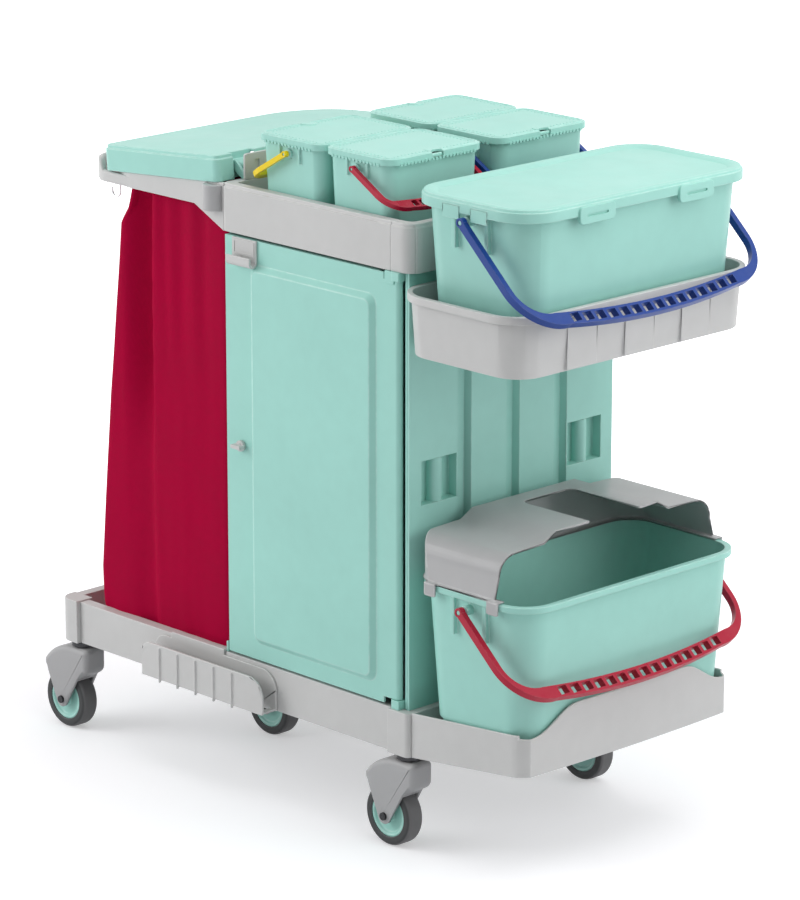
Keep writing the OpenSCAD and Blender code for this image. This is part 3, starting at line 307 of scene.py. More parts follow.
def place_group(tree, group, vector, **values):
    node = tree.nodes.new("ShaderNodeGroup")
    node.node_tree = group
    wire(tree, vector, node.inputs["Vector"])
    for key, value in values.items():
        node.inputs[key].default_value = value
    return node


def mixed(tree, mask, first, second):
    """Colour that goes from first to second with mask; each is a socket or a linear colour."""
    node = add(tree, "ShaderNodeMix", data_type="RGBA")
    wire(tree, mask, node.inputs[0])
    for k, value in ((6, first), (7, second)):
        if isinstance(value, bpy.types.NodeSocket):
            wire(tree, value, node.inputs[k])
        else:
            node.inputs[k].default_value = (*value, 1)
    return node.outputs[2]


def scaled(colour, factor):
    return tuple(min(1.0, c * factor) for c in colour)


def new_material(name):
    made = bpy.data.materials.new(name)
    made.use_nodes = True
    tree = made.node_tree
    place = add(tree, "ShaderNodeTexCoord")
    return made, tree, tree.nodes["Principled BSDF"], place.outputs["Object"]


def bumped(tree, shader, height, depth):
    bump = add(tree, "ShaderNodeBump")
    bump.inputs["Strength"].default_value = 1.0
    bump.inputs["Distance"].default_value = depth
    wire(tree, height, bump.inputs["Height"])
    wire(tree, bump.outputs[0], shader.inputs["Normal"])


def make_plastic(groups, name, colour, rough, depth_times=1.0, wear=None):
    """Moulded plastic: pebbled skin, clouds of tone, a painted highlight on the rounded edges and a trace
    of dust.
    """
    finish = bpy.context.scene.cart_finish
    made, tree, shader, place = new_material(name)
    skin = place_group(tree, groups["skin"], place, Grains=1 / finish.grain)
    edge = place_group(tree, groups["wear"], place, Amount=finish.wear if wear is None else wear)
    wire(tree, add(tree, "ShaderNodeAttribute", attribute_name="highlit").outputs["Fac"], edge.inputs["Edge"])
    dust = place_group(tree, groups["dust"], place, Amount=finish.dust)
    base = mixed(tree, skin.outputs["Tone"], scaled(colour, 0.955), scaled(colour, 1.04))
    # the rounded edges are lifted towards white: a painted highlight where they catch the light
    pale = tuple(c + (1 - c) * 0.45 for c in colour)
    gleaming = mixed(tree, edge.outputs["Mask"], base, pale)
    settled = mixed(tree, dust.outputs["Mask"], gleaming, srgb(*DUST_COLOUR))
    wire(tree, settled, shader.inputs["Base Color"])
    gloss = spread(tree, skin.outputs["Gloss"], 0.0, 1.0, rough - 0.04, rough + 0.05)
    wire(tree, sums(tree, "ADD", gloss, sums(tree, "MULTIPLY", dust.outputs["Mask"], 0.5)),
         shader.inputs["Roughness"])
    shader.inputs["Specular IOR Level"].default_value = PLASTIC_SPECULAR
    bumped(tree, shader, skin.outputs["Height"], finish.grain_depth * depth_times)
    return made


def make_cloth(groups, name, colour):
    """Woven polyester of the bag, on the bag's own map, with a soft sheen."""
    finish = bpy.context.scene.cart_finish
    made, tree, shader, place = new_material(name)
    mapped = add(tree, "ShaderNodeUVMap", uv_map="cloth")
    weave = place_group(tree, groups["weave"], mapped.outputs[0], Threads=1 / finish.thread)
    base = mixed(tree, weave.outputs["Tone"], scaled(colour, 0.88), scaled(colour, 1.12))
    # darker where the weave is low, between the threads: painted shade in the weave's hollows
    weave_gaps_shaded = mixed(tree, spread(tree, weave.outputs["Height"], 0.2, 1.0), scaled(colour, 0.7), base)
    wire(tree, weave_gaps_shaded, shader.inputs["Base Color"])
    wire(tree, spread(tree, weave.outputs["Tone"], 0.0, 1.0, 0.66, 0.78), shader.inputs["Roughness"])
    shader.inputs["Sheen Weight"].default_value = 0.03
    shader.inputs["Sheen Roughness"].default_value = 0.4
    shader.inputs["Sheen Tint"].default_value = (*srgb(*SHEEN_COLOUR), 1)
    shader.inputs["Specular IOR Level"].default_value = 0.05
    bumped(tree, shader, weave.outputs["Height"], 0.25 * MM)
    return made


def make_rubber(groups, name, colour):
    """Tyre rubber: matt, with darker sides, a paler tread and a painted highlight on the rounded edges."""
    finish = bpy.context.scene.cart_finish
    made, tree, shader, place = new_material(name)
    skin = place_group(tree, groups["skin"], place, Grains=900.0)
    edge = place_group(tree, groups["wear"], place, Amount=0.5)
    wire(tree, add(tree, "ShaderNodeAttribute", attribute_name="highlit").outputs["Fac"], edge.inputs["Edge"])
    facing = add(tree, "ShaderNodeSeparateXYZ")
    wire(tree, add(tree, "ShaderNodeTexCoord").outputs["Normal"], facing.inputs[0])
    flank = spread(tree, sums(tree, "ABSOLUTE", facing.outputs["Y"], 0), 0.6, 0.85)
    plain = mixed(tree, flank, bpy.context.scene.cart_colours.tread, colour)
    cloudy = mixed(tree, flank, scaled(bpy.context.scene.cart_colours.tread, 0.8), scaled(colour, 0.8))
    base = mixed(tree, skin.outputs["Tone"], cloudy, plain)
    # the rounded edges are lifted towards a paler grey: a painted highlight
    wire(tree, mixed(tree, edge.outputs["Mask"], base, srgb(*RUBBER_EDGE_GLEAM)), shader.inputs["Base Color"])
    wire(tree, spread(tree, skin.outputs["Gloss"], 0.0, 1.0, 0.5, 0.68), shader.inputs["Roughness"])
    bumped(tree, shader, skin.outputs["Height"], 2 * finish.grain_depth)
    return made


def make_steel(groups, name, colour):
    """Zinc-plated steel with fine drawn lines."""
    made, tree, shader, place = new_material(name)
    lines = place_group(tree, groups["drawn"], place)
    wire(tree, mixed(tree, lines.outputs["Tone"], scaled(colour, 0.9), scaled(colour, 1.05)),
         shader.inputs["Base Color"])
    shader.inputs["Metallic"].default_value = 1.0
    wire(tree, spread(tree, lines.outputs["Tone"], 0.0, 1.0, 0.24, 0.38), shader.inputs["Roughness"])
    bumped(tree, shader, lines.outputs["Height"], 0.02 * MM)
    return made


SMALL_BAILS = ("red", "yellow", "blue", "green")
MINT_NODES = ["cabinet_end_panel", "cabinet_rear_panel", "cabinet_side_panel", "door_hinge_blocks", "door",
              "bag_lid", "lid_hinge_brackets", "upper_bucket", "upper_lid", "lower_bucket", "centre_hub"]
MINT_NODES += [f"{kind}_{i}" for kind in ("small_bucket", "small_lid", "caster_hub") for i in range(1, 5)]
GREY_NODES = ["base_frame", "base_corner_caps", "deck_grate", "bucket_tray", "mop_rest", "top_tray",
              "top_tray_corner_caps", "bag_ring", "bucket_holder", "door_hook", "door_latch"]
HOOD_NODES = ["bucket_hood", "ring_clamps"]
AXLE_NODES = ["caster_stems", "centre_axle"] + [f"caster_axle_{i}" for i in range(1, 5)]
TYRE_NODES = ["centre_tyre"] + [f"caster_tyre_{i}" for i in range(1, 5)]
FINE_NODES = {"door_hook", "door_latch", "ring_clamps", "lid_hinge_brackets", "door_hinge_blocks"}


def meshed(bm, name):
    """A mesh made from bm, which is then freed."""
    mesh = bpy.data.meshes.new(name)
    bm.to_mesh(mesh)
    bm.free()
    return mesh


def split_faces(bm):
    """Cut the faces with more than four corners into triangles."""
    many = [f for f in bm.faces if len(f.verts) > 4]
    bmesh.ops.triangulate(bm, faces=many, ngon_method="EAR_CLIP")


def rounded_copy(node, edge, sharp, whole, split=True):
    """A merged copy of a CAD node with its sharp edges rounded, and those roundings marked for the painted
    edge highlight.
    """
    bm = bmesh.new()
    bm.from_mesh(frame["nodes"][node].data)
    bmesh.ops.remove_doubles(bm, verts=bm.verts, dist=WELD)
    if whole:
        bmesh.ops.dissolve_limit(bm, angle_limit=math.radians(0.4), use_dissolve_boundaries=False,
                                 verts=bm.verts, edges=bm.edges)
    highlit = bm.faces.layers.float.new("highlit")
    crisp = [e for e in bm.edges if len(e.link_faces) == 2 and e.calc_face_angle(0) > math.radians(sharp)]
    if edge > 0 and crisp:
        made = bmesh.ops.bevel(bm, geom=crisp, offset=edge, offset_type="OFFSET", segments=2, profile=0.5,
                               affect="EDGES", clamp_overlap=False, loop_slide=True, material=-1)
        for face in made["faces"]:
            face[highlit] = 1
    if split:
        split_faces(bm)
    return bm


def strays(bm, skin, room):
    """How many faces of the copy leave the node's own surface by more than their rounding."""
    return sum(skin.find_nearest(face.calc_center_median())[3] > room for face in bm.faces)


def dressed(node, finish, edge, sharp=30):
    """A CAD node's copy in its finish, in the node's place, rounded as far as its walls allow."""
    source = frame["nodes"][node]
    bm = bmesh.new()
    bm.from_mesh(source.data)
    skin = BVHTree.FromBMesh(bm)
    tries = ((edge, True), (edge, False), (edge / 2, True), (edge / 2, False), (edge / 4, True))
    for radius, whole in tries:
        copy = rounded_copy(node, radius, sharp, whole)
        if not strays(copy, skin, 0.6 * radius + 0.05 * MM):
            bm.free()
            bm = copy
            break
        copy.free()
    else:
        bmesh.ops.remove_doubles(bm, verts=bm.verts, dist=WELD)
    return placed_piece(node + "_finish", meshed(bm, node + "_finish"), finish, source["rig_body"], node)


def placed_piece(name, mesh, finish, body, *nodes, sharp=50):
    """An object for a finished mesh, with its finish, its body and the nodes that it stands for."""
    piece = bpy.data.objects.new(name, mesh)
    bpy.context.scene.collection.objects.link(piece)
    for face in mesh.polygons:
        face.use_smooth = True
    mesh.set_sharp_from_angle(angle=math.radians(sharp))
    evened = piece.modifiers.new("evened", "WEIGHTED_NORMAL")
    evened.keep_sharp = True
    mesh.materials.append(bpy.data.materials[finish])
    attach(piece, body)
    if nodes:
        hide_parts(*nodes)
    return piece


class CART_OT_finishes(bpy.types.Operator):
    """Make the materials of every finish on the cart"""
    bl_idname = "cart.finishes"
    bl_label = "Finishes"

    def execute(self, context):
        colours = context.scene.cart_colours
        groups = {"skin": make_moulded_skin(), "wear": make_edge_wear(), "dust": make_dust(),
                  "weave": make_weave(), "drawn": make_brushed()}
        make_plastic(groups, "mint", colours.mint, 0.36)
        make_plastic(groups, "grey", colours.grey, 0.44, 1.2)
        make_plastic(groups, "hood", colours.hood, 0.32)
        make_plastic(groups, "fork", colours.fork, 0.4)
        for name in ("blue", "red", "yellow", "green"):
            make_plastic(groups, name, getattr(colours, name), 0.3, 0.6, wear=BAIL_EDGE_GLEAM)
        make_cloth(groups, "crimson", colours.crimson)
        make_rubber(groups, "rubber", colours.rubber)
        make_steel(groups, "steel", colours.steel)
        make_steel(groups, "dark_steel", colours.dark_steel)
        return {"FINISHED"}


class CART_OT_mouldings(bpy.types.Operator):
    """Round the edges of the moulded pieces and give them their plastics"""
    bl_idname = "cart.mouldings"
    bl_label = "Mouldings"

    def execute(self, context):
        sizes = context.scene.cart_finish
        for finish, nodes in (("mint", MINT_NODES), ("grey", GREY_NODES), ("hood", HOOD_NODES)):
            for node in nodes:
                edge = sizes.fine_edge if node in FINE_NODES else sizes.edge
                dressed(node, finish, 2 * edge if node == "bucket_hood" else edge)
        return {"FINISHED"}


class CART_OT_bails(bpy.types.Operator):
    """Finish the bails in their colours"""
    bl_idname = "cart.bails"
    bl_label = "Bails"

    def execute(self, context):
        edge = context.scene.cart_finish.fine_edge
        dressed("upper_bail", "blue", edge)
        dressed("lower_bail", "red", edge)
        for i, finish in enumerate(SMALL_BAILS, 1):
            dressed(f"small_bail_{i}", finish, edge)
        return {"FINISHED"}


class CART_OT_forks(bpy.types.Operator):
    """Round the crowns of the caster forks and finish the fixed wheel's bracket"""
    bl_idname = "cart.forks"
    bl_label = "Caster forks"

    crown_share = 0.58
    crest_angle = 50

    def execute(self, context):
        sizes = context.scene.cart_finish
        dressed("centre_bracket", "fork", sizes.edge)
        for i in range(1, 5):
            node = f"caster_fork_{i}"
            low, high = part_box(node)
            middle, half = (low.y + high.y) / 2, (high.y - low.y) / 2
            shoulder = high.z - self.crown_share * (high.z - low.z)
            bm = rounded_copy(node, 0, 30, True, False)
            sharp = [e for e in bm.edges
                     if len(e.link_faces) == 2 and e.calc_face_angle(0) > math.radians(self.crest_angle)]
            crest = [e for e in sharp if min(v.co.z for v in e.verts) > shoulder
                     and all(abs(abs(v.co.y - middle) - half) < 0.05 * MM for v in e.verts)]
            bmesh.ops.bevel(bm, geom=crest, offset=sizes.crown, offset_type="OFFSET", segments=6,
                            profile=0.5, affect="EDGES", clamp_overlap=False, loop_slide=True, material=-1)
            split_faces(bm)
            body = frame["nodes"][node]["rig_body"]
            placed_piece(node + "_finish", meshed(bm, node + "_finish"), "fork", body, node)
        return {"FINISHED"}


class CART_OT_metal_and_tyres(bpy.types.Operator):
    """Finish the steel pieces and the tyres"""
    bl_idname = "cart.metal_and_tyres"
    bl_label = "Metal and tyres"

    def execute(self, context):
        edge = context.scene.cart_finish.fine_edge
        dressed("bag_hooks", "steel", edge / 2)
        for node in AXLE_NODES:
            dressed(node, "dark_steel", edge / 2)
        for node in TYRE_NODES:
            dressed(node, "rubber", edge)
        return {"FINISHED"}


def plaque(bm, low, high, axis, side, corner, edge, slot=None, depth=0):
    """A flat moulding between two points, rounded all about, its face on one side slotted by that share."""
    old = set(bm.faces)
    shape = Matrix.Translation((low + high) / 2) @ Matrix.Diagonal((*(high - low), 1))
    verts = bmesh.ops.create_cube(bm, size=1, matrix=shape)["verts"]
    posts = [e for e in {e for v in verts for e in v.link_edges}
             if abs((e.verts[1].co - e.verts[0].co).normalized()[axis]) > 0.9]
    bmesh.ops.bevel(bm, geom=posts, offset=corner, offset_type="OFFSET", segments=5, profile=0.5,
                    affect="EDGES", material=-1)

    def front():
        return max(set(bm.faces) - old, key=lambda f: side * f.calc_center_median()[axis])

    bmesh.ops.bevel(bm, geom=list(front().edges), offset=edge, offset_type="OFFSET", segments=3,
                    profile=0.5, affect="EDGES", material=-1)
    if slot:
        face = front()
        bmesh.ops.inset_region(bm, faces=[face], thickness=0.5 * MM, use_even_offset=True)
        centre = Matrix.Translation(-face.calc_center_median())
        bmesh.ops.scale(bm, verts=face.verts, vec=Vector(slot), space=centre)
        bmesh.ops.inset_region(bm, faces=[face], thickness=0.1 * MM, use_even_offset=True)
        inward = Vector((0, 0, 0))
        inward[axis] = -side * depth
        bmesh.ops.translate(bm, verts=face.verts, vec=inward)


def grown(bm, ring):
    """The next ring of a loft, in the same order round it."""
    edges = [bm.edges.get((a, b)) for a, b in zip(ring, ring[1:] + ring[:1])]
    made = bmesh.ops.extrude_edge_only(bm, edges=edges)["geom"]
    fresh = {v for v in made if isinstance(v, bmesh.types.BMVert)}
    return [next(e.other_vert(v) for e in v.link_edges if e.other_vert(v) in fresh) for v in ring]


def first_ring(bm, count):
    """A circle of that many points, in order round it, from which a loft starts."""
    bmesh.ops.create_circle(bm, segments=count, radius=0.1, cap_ends=False)
    return sorted(bm.verts, key=lambda v: math.atan2(v.co.y, v.co.x))


class CART_OT_lid_clips(bpy.types.Operator):
    """Add the two slotted clips on the upper lid's long side at the bucket end"""
    bl_idname = "cart.lid_clips"
    bl_label = "Lid clips"

    apart = 108 * MM
    half = 38 * MM
    height = 27 * MM

    def execute(self, context):
        low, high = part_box("upper_lid")
        middle = (low + high) / 2
        top = high.z - 5.5 * MM
        bm = bmesh.new()
        for side in (-1, 1):
            y = middle.y + side * self.apart
            start = Vector((high.x - 3 * MM, y - self.half, top - self.height))
            stop = Vector((high.x + 2.4 * MM, y + self.half, top))
            plaque(bm, start, stop, 0, 1, 8 * MM, 1.6 * MM, (1, 0.62, 0.2), 3 * MM)
        body = frame["nodes"]["upper_lid"]["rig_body"]
        placed_piece("upper_lid_clips", meshed(bm, "upper_lid_clips"), "mint", body)
        return {"FINISHED"}


class CART_OT_lid_border(bpy.types.Operator):
    """Loft the broad rolled border of the upper lid"""
    bl_idname = "cart.lid_border"
    bl_label = "Lid border"

    around = 144
    corner = 64
    section = ((2, -1), (2.4, 2), (5, 4.2), (10, 4.9), (16, 3.6), (21, 1.3), (24, -0.1), (24, -1))

    def execute(self, context):
        low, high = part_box("upper_lid")
        top = high.z / MM - 4
        x0, x1 = (low.x - BAG_END) / MM, (high.x - BAG_END) / MM - 1.5
        half = (high.y - low.y) / 2 / MM - 1
        bm = bmesh.new()
        ring = outer = first_ring(bm, self.around)
        for row, (inset, rise) in enumerate(self.section):
            ring = grown(bm, ring) if row else ring
            outline = (x0 + inset, x1 - inset, half - inset, self.corner - inset)
            for k, vert in enumerate(ring):
                spot = round_box(*outline, k / self.around)[0]
                vert.co = at(spot.x, spot.y, top + rise)
        pairs = [pair for loop in (outer, ring) for pair in zip(loop, loop[1:] + loop[:1])]
        bmesh.ops.bridge_loops(bm, edges=[bm.edges.get(pair) for pair in pairs])
        bmesh.ops.recalc_face_normals(bm, faces=bm.faces)
        body = frame["nodes"]["upper_lid"]["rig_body"]
        placed_piece("upper_lid_border", meshed(bm, "upper_lid_border"), "mint", body)
        return {"FINISHED"}


class CART_OT_ring_end(bpy.types.Operator):
    """Loft the rounded end of the bag ring, which stands out past the bag's lid"""
    bl_idname = "cart.ring_end"
    bl_label = "Ring end"

    around = 24
    radius = 40.5
    overhang = 17
    wall = 9
    edge = 3.5
    crest = 19

    def execute(self, context):
        low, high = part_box("bag_ring")
        start = (low.x - BAG_END) / MM
        x0, half = start - self.overhang, (high.y - low.y) / 2 / MM - 4.8
        path = [(start + 96, -half, 180), (start + 60, -half, 180), (x0 + self.radius, -half, 180)]
        for k in range(1, 17):
            turn = math.pi * (1.5 - k / 32)
            path.append((x0 + self.radius * (1 + math.cos(turn)), self.radius * (1 + math.sin(turn)) - half,
                         math.degrees(turn) - 90))
        path += [(x0, -half / 3, 90)]
        path += [(x, -y, 180 - turn) for x, y, turn in reversed(path)]
        foot = self.foot()
        bm = bmesh.new()
        ring = first_ring(bm, self.around)
        bmesh.ops.contextual_create(bm, geom=ring)
        for step, (x, y, turn) in enumerate(path):
            ring = grown(bm, ring) if step else ring
            crest = self.crest * (2 - eased(x, start + 6, start + 17))
            along = Vector((math.cos(math.radians(turn)), math.sin(math.radians(turn))))
            for k, vert in enumerate(ring):
                spot = round_box(-self.wall / 2, self.wall / 2, crest / 2, self.edge, k / self.around)[0]
                vert.co = at(x - along.y * spot.x, y + along.x * spot.x, foot + crest / 2 + spot.y)
        bmesh.ops.contextual_create(bm, geom=ring)
        bmesh.ops.recalc_face_normals(bm, faces=bm.faces)
        placed_piece("bag_ring_end", meshed(bm, "bag_ring_end"), "grey", "cart")
        return {"FINISHED"}

    def foot(self):
        """Height in millimetres of the ring's lower edge at the bag end."""
        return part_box("bag_hooks")[1].z / MM + 0.3


class CART_OT_hinge_plates(bpy.types.Operator):
    """Add the slotted plates that stand on the tray's rim behind the bag lid's hinges"""
    bl_idname = "cart.hinge_plates"
    bl_label = "Hinge plates"

    half = 26 * MM
    height = 42 * MM

    def execute(self, context):
        low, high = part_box("lid_hinge_brackets")
        bm = bmesh.new()
        for side in (-1, 1):
            y = side * (high.y - 20.4 * MM)
            start = Vector((high.x + 0.4 * MM, y - self.half, low.z - 0.2 * MM))
            stop = Vector((high.x + 4 * MM, y + self.half, low.z + self.height))
            plaque(bm, start, stop, 0, 1, 4 * MM, 1 * MM, (1, 0.2, 0.5), 2.4 * MM)
        placed_piece("lid_hinge_plates", meshed(bm, "lid_hinge_plates"), "grey", "cart")
        return {"FINISHED"}


class CART_OT_hook_frame(bpy.types.Operator):
    """Add the raised frame on the plate of the door's hook"""
    bl_idname = "cart.hook_frame"
    bl_label = "Hook frame"

    plate = 4 * MM
    trough = 17 * MM
    margin = 3 * MM

    def execute(self, context):
        low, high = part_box("door_hook")
        face = high.y - self.plate
        start = Vector((low.x + self.margin, face - 1.2 * MM, low.z + self.trough))
        stop = Vector((high.x - self.margin, face + 0.4 * MM, high.z - 2 * MM))
        bm = bmesh.new()
        plaque(bm, start, stop, 1, -1, 2 * MM, 0.4 * MM, (0.88, 1, 0.78), 0.9 * MM)
        body = frame["nodes"]["door_hook"]["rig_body"]
        placed_piece("door_hook_frame", meshed(bm, "door_hook_frame"), "grey", body)
        return {"FINISHED"}


class CART_OT_lid_pips(bpy.types.Operator):
    """Add the rows of pips and teeth round the small lids"""
    bl_idname = "cart.lid_pips"
    bl_label = "Lid pips"

    pitch = 7.6 * MM
    inside = 15 * MM

    def execute(self, context):
        for i in range(1, 5):
            node = f"small_lid_{i}"
            low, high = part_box(node)
            top = self.panel_top(node)
            bm = bmesh.new()
            for axis in (0, 1):
                other = 1 - axis
                length = high[axis] - low[axis] - 2 * self.inside - 20 * MM
                count = round(length / self.pitch)
                for side in (low[other] + self.inside, high[other] - self.inside):
                    for k in range(count + 1):
                        spot = Vector((0, 0, top))
                        spot[axis] = (low[axis] + high[axis] - length) / 2 + length * k / count
                        spot[other] = side
                        place = Matrix.Translation(spot)
                        bmesh.ops.create_cone(bm, cap_ends=True, segments=12, radius1=1.9 * MM,
                                              radius2=1.0 * MM, depth=1.6 * MM, matrix=place)
                        near = side < (low[other] + high[other]) / 2
                        spot[other] = low[other] if near else high[other]
                        spot.z = low.z + 0.6 * MM
                        size = Vector((1.8, 1.8, 4.2)) * MM
                        size[axis] = 4.4 * MM
                        tooth = Matrix.Translation(spot) @ Matrix.Diagonal((*size, 1))
                        bmesh.ops.create_cube(bm, size=1, matrix=tooth)
            body = frame["nodes"][node]["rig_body"]
            placed_piece(node + "_pips", meshed(bm, node + "_pips"), "mint", body)
        return {"FINISHED"}

    def panel_top(self, node):
        """Height of the lid's flat top, below its raised border."""
        low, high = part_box(node)
        bm = bmesh.new()
        bm.from_mesh(frame["nodes"][node].data)
        skin = BVHTree.FromBMesh(bm)
        bm.free()
        start = Vector(((low.x + high.x) / 2, (low.y + high.y) / 2, high.z + 0.1))
        return skin.ray_cast(start, Vector((0, 0, -1)))[0].z


class CART_OT_hinge_cover(bpy.types.Operator):
    """Add the cover over the gap beside the door's upper hinge block"""
    bl_idname = "cart.hinge_cover"
    bl_label = "Hinge cover"

    height = 20 * MM

    def execute(self, context):
        low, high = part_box("door_hinge_blocks")
        bm = bmesh.new()
        start = Vector((low.x - 11.5 * MM, low.y + 1 * MM, high.z - self.height))
        stop = Vector((low.x + 9 * MM, high.y - 1 * MM, high.z - 0.3 * MM))
        plaque(bm, start, stop, 1, -1, 2 * MM, 1.2 * MM)
        placed_piece("hinge_cover", meshed(bm, "hinge_cover"), "mint", "cart")
        return {"FINISHED"}


def round_box(x0, x1, half, radius, share):
    """Point and outward direction at a share of the way round a box with rounded corners."""
    runs = (x1 - x0 - 2 * radius, 2 * half - 2 * radius)
    arc = math.pi / 2 * radius
    way = share * (2 * sum(runs) + 4 * arc)
    centres = ((x1 - radius, radius - half), (x1 - radius, half - radius), (x0 + radius, half - radius),
               (x0 + radius, radius - half))
    for k in range(4):
        turn = (k - 1) * math.pi / 2
        out = Vector((math.cos(turn), math.sin(turn)))
        if way <= runs[k % 2]:
            return Vector(centres[k - 1]) + radius * out + way * Vector((-out.y, out.x)), out
        way -= runs[k % 2]
        if way <= arc or k == 3:
            turn += min(1, way / arc) * math.pi / 2
            out = Vector((math.cos(turn), math.sin(turn)))
            return Vector(centres[k]) + radius * out, out
        way -= arc


def eased(value, low, high):
    """0 below low, 1 above high and a smooth rise between."""
    t = min(1, max(0, (value - low) / (high - low)))
    return t * t * (3 - 2 * t)


# Height, bag-end edge and half width of the bag, in millimetres, from its floor to its hem
BAG_LEVELS = ((203, 90, 209), (214, 84, 214), (240, 81, 216), (300, 81, 218.5), (420, 92, 219),
              (600, 108, 218), (780, 127, 216.5), (893, 139, 215.4), (919, 155, 214.6), (957, 165, 214),
              (972, 168, 214))
# Place along the base, depth and width of the slack pleats, in millimetres
PLEATS = ((292, 6.5, 22), (346, 5.5, 18), (254, 3.5, 12))


def bag_outline(z):
    """Bag-end edge and half width of the bag at a height, in millimetres."""
    for (z0, x0, w0), (z1, x1, w1) in zip(BAG_LEVELS, BAG_LEVELS[1:]):
        if z <= z1:
            t = (z - z0) / (z1 - z0)
            return x0 + t * (x1 - x0), w0 + t * (w1 - w0)
    return BAG_LEVELS[-1][1:]


def bag_dent(x, y, z, out, fold):
    """How far the cloth lies inside its outline: a crease near the bag end, slack pleats and ripples."""
    hang = eased(z, 480, 700) * 0.72 + 0.28
    valley = 206 + 4 * math.sin(z / 170)
    rise = eased(x, valley - 56, valley) if x < valley else 1 - eased(x, valley, valley + 22)
    side = max(0, abs(out.y) - 0.6) / 0.4
    dent = fold * hang * rise * side * (1 - 0.6 * eased(z, 930, 972))
    for pleat, deep, wide in PLEATS:
        away = x - pleat - 8 * math.sin(z / 230)
        dent += deep * side * math.exp(-(away / wide) ** 2) * eased(z, 560, 900)
    broad = noise.noise(Vector((x / 46, y / 46, z / 420)))
    ripple = broad + 0.5 * noise.noise(Vector((x / 19, y / 19, z / 150)))
    foot = (1 - eased(z, 210, 330)) * noise.noise(Vector((x / 34, y / 34, z / 60)))
    return dent + 1.4 * ripple + 2.2 * foot + 1.4


class CART_OT_laundry_bag(bpy.types.Operator):
    """Loft the laundry bag from its hem to its floor, with the folds that hanging gives it"""
    bl_idname = "cart.laundry_bag"
    bl_label = "Laundry bag"

    around = 240
    rows = 86
    floor_rings = 9
    width = 1.48
    cabinet_side = 409
    corner_radius = 13
    middle = 248

    def execute(self, context):
        sizes = context.scene.cart_finish
        bm = bmesh.new()
        mapped = bm.loops.layers.uv.new("cloth")
        ring = first_ring(bm, self.around)
        spots = {}
        low, high = BAG_LEVELS[0][0], BAG_LEVELS[-1][0]
        for row in range(self.rows + 1):
            z = high + (low - high) * row / self.rows
            corner, half = bag_outline(z)
            for k, vert in enumerate(ring):
                spot, out = round_box(corner, self.cabinet_side, half, self.corner_radius, k / self.around)
                spot -= out * bag_dent(spot.x, spot.y, z, out, sizes.fold / MM)
                vert.co = at(spot.x, spot.y, z)
                spots[vert] = (k / self.around * self.width, z * MM)
            if row < self.rows:
                ring = grown(bm, ring)
        middle = at(self.middle, 0, low)
        for step in range(1, self.floor_rings + 1):
            ring = grown(bm, ring)
            for vert in ring:
                vert.co = vert.co.lerp(middle, 1 / (self.floor_rings + 2 - step))
                vert.co.z = at(0, 0, low + 1.2 * noise.noise(vert.co * 30)).z
                spots[vert] = (vert.co.x, vert.co.y)
        bmesh.ops.contextual_create(bm, geom=ring)
        for face in bm.faces:
            for loop in face.loops:
                u, v = spots.get(loop.vert, (0, 0))
                first = spots.get(face.loops[0].vert, (0, 0))[0]
                loop[mapped].uv = (u + self.width * ((first - u > 0.7) - (u - first > 0.7)), v)
        bmesh.ops.recalc_face_normals(bm, faces=bm.faces)
        mesh = meshed(bm, "laundry_bag_cloth")
        bag = placed_piece("laundry_bag_cloth", mesh, "crimson", "cart", "laundry_bag", sharp=80)
        bag.modifiers.clear()
        wall = bag.modifiers.new("cloth", "SOLIDIFY")
        wall.thickness = sizes.cloth
        wall.offset = -1
        return {"FINISHED"}


def softbox(name, spot, aim, size, power):
    lamp = bpy.data.lights.new(name, "AREA")
    lamp.shape = "RECTANGLE"
    lamp.size, lamp.size_y = size
    lamp.energy = power
    holder = bpy.data.objects.new(name, lamp)
    holder.location = spot
    holder.rotation_euler = (Vector(aim) - Vector(spot)).to_track_quat("-Z", "Y").to_euler()
    bpy.context.scene.collection.objects.link(holder)


def seen_rays(tree):
    """1 for what the camera, a mirror or a glass sees directly, and 0 for light that only bounces."""
    path = add(tree, "ShaderNodeLightPath")
    pair = sums(tree, "MAXIMUM", path.outputs["Is Camera Ray"], path.outputs["Is Glossy Ray"])
    return sums(tree, "MAXIMUM", pair, path.outputs["Is Transmission Ray"])


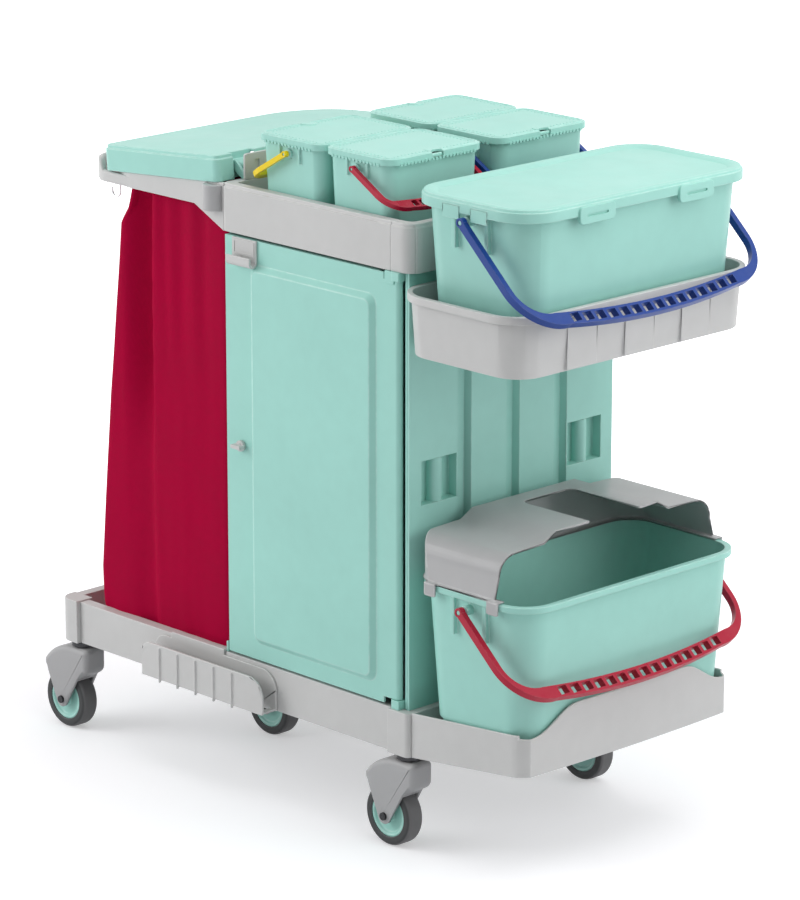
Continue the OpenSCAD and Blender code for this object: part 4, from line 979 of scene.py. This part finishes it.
class CART_OT_stage(bpy.types.Operator):
    """Set the floor, the world, the softboxes and the camera"""
    bl_idname = "cart.stage"
    bl_label = "Stage"

    floor_half = 14
    glow_reach = (0.75, 2.0)
    # glow of the floor near the cart, kept low as a painted shade round it
    painted_shade_glow = 0.37
    gap_direction = (0.69, -0.67, 0.27)
    aim = (0, 0, 0.5)
    focal_length = 177.72
    camera_spot = (4.9594, -4.762, 2.482)
    camera_tilt = 74.3
    camera_turn = 46

    def execute(self, context):
        stage = context.scene.cart_stage
        context.scene.view_settings.view_transform = "Standard"
        bm = bmesh.new()
        bmesh.ops.create_grid(bm, x_segments=1, y_segments=1, size=self.floor_half)
        mesh = meshed(bm, "floor")
        floor = bpy.data.objects.new("floor", mesh)
        context.scene.collection.objects.link(floor)
        floor.location.z = -0.0005
        made, tree, shader, place = new_material("floor")
        clouds = spread(tree, noisy(tree, place, 1.5, 2.0), 0.3, 0.7)
        wire(tree, mixed(tree, clouds, scaled(stage.floor, 0.99), stage.floor), shader.inputs["Base Color"])
        shader.inputs["Roughness"].default_value = 0.7
        shader.inputs["Specular IOR Level"].default_value = 0.1
        shader.inputs["Emission Color"].default_value = (1, 1, 1, 1)
        # The floor glows for camera and mirror rays: evenly white far off, and dimmer near the cart, a
        # painted shade round the cart that deepens its shadow.
        far = add(tree, "ShaderNodeVectorMath", operation="LENGTH")
        wire(tree, place, far.inputs[0])
        glow = spread(tree, far.outputs["Value"], *self.glow_reach, self.painted_shade_glow, 1.0)
        wire(tree, sums(tree, "MULTIPLY", seen_rays(tree), glow), shader.inputs["Emission Strength"])
        mesh.materials.append(made)
        world = bpy.data.worlds.new("studio")
        context.scene.world = world
        world.use_nodes = True
        sky = world.node_tree
        back = sky.nodes["Background"]
        back.inputs["Color"].default_value = (1, 1, 1, 1)
        toward = add(sky, "ShaderNodeVectorMath", operation="DOT_PRODUCT", in1=self.gap_direction)
        wire(sky, add(sky, "ShaderNodeTexCoord").outputs["Generated"], toward.inputs[0])
        share = spread(sky, toward.outputs["Value"], 0.6, 0.97, 1.0, 1 - stage.gap)
        around = sums(sky, "MULTIPLY", share, stage.ambient)
        wire(sky, sums(sky, "MAXIMUM", seen_rays(sky), around), back.inputs["Strength"])
        softbox("door_side_softbox", (-2.4, -2.6, 1.9), self.aim, (2.2, 2.2), stage.side_power)
        softbox("bucket_end_softbox", (3.1, 1.3, 1.8), self.aim, (2.0, 2.2), stage.end_power)
        softbox("top_softbox", (1.2, 0.2, 3.2), self.aim, (2.6, 2.2), stage.top_power)
        lens = bpy.data.cameras.new("camera")
        lens.lens = self.focal_length
        lens.sensor_width = 36
        lens.clip_end = 100
        camera = bpy.data.objects.new("camera", lens)
        camera.location = self.camera_spot
        camera.rotation_euler = (math.radians(self.camera_tilt), 0, math.radians(self.camera_turn))
        context.scene.collection.objects.link(camera)
        context.scene.camera = camera
        return {"FINISHED"}


class CART_PT_panel(bpy.types.Panel):
    """Lists the cart's settings and the steps that build it"""
    bl_idname = "CART_PT_panel"
    bl_label = "Janitor cart"
    bl_space_type = "VIEW_3D"
    bl_region_type = "UI"
    bl_category = "Cart"

    def draw(self, context):
        for group in (context.scene.cart_colours, context.scene.cart_finish, context.scene.cart_stage):
            box = self.layout.box()
            for key in group.__annotations__:
                box.prop(group, key)
        for step in STEPS:
            self.layout.operator(step.bl_idname)


STEPS = (CART_OT_finishes, CART_OT_mouldings, CART_OT_bails, CART_OT_forks, CART_OT_metal_and_tyres,
         CART_OT_lid_clips, CART_OT_lid_border, CART_OT_lid_pips, CART_OT_hinge_cover, CART_OT_hinge_plates,
         CART_OT_ring_end, CART_OT_hook_frame, CART_OT_laundry_bag, CART_OT_stage)
GROUPS = {"cart_colours": CartColours, "cart_finish": CartFinish, "cart_stage": CartStage}


def register():
    for made in (*GROUPS.values(), *STEPS, CART_PT_panel):
        bpy.utils.register_class(made)
    for name, made in GROUPS.items():
        setattr(bpy.types.Scene, name, bpy.props.PointerProperty(type=made))


def unregister():
    for name in GROUPS:
        delattr(bpy.types.Scene, name)
    for made in (CART_PT_panel, *reversed(STEPS), *reversed(GROUPS.values())):
        bpy.utils.unregister_class(made)


def main():
    register()
    bpy.ops.cart.finishes()
    bpy.ops.cart.mouldings()
    bpy.ops.cart.bails()
    bpy.ops.cart.forks()
    bpy.ops.cart.metal_and_tyres()
    bpy.ops.cart.lid_clips()
    bpy.ops.cart.lid_border()
    bpy.ops.cart.lid_pips()
    bpy.ops.cart.hinge_cover()
    bpy.ops.cart.hinge_plates()
    bpy.ops.cart.ring_end()
    bpy.ops.cart.hook_frame()
    bpy.ops.cart.laundry_bag()
    bpy.ops.cart.stage()


if __name__ == "__main__":
    main()
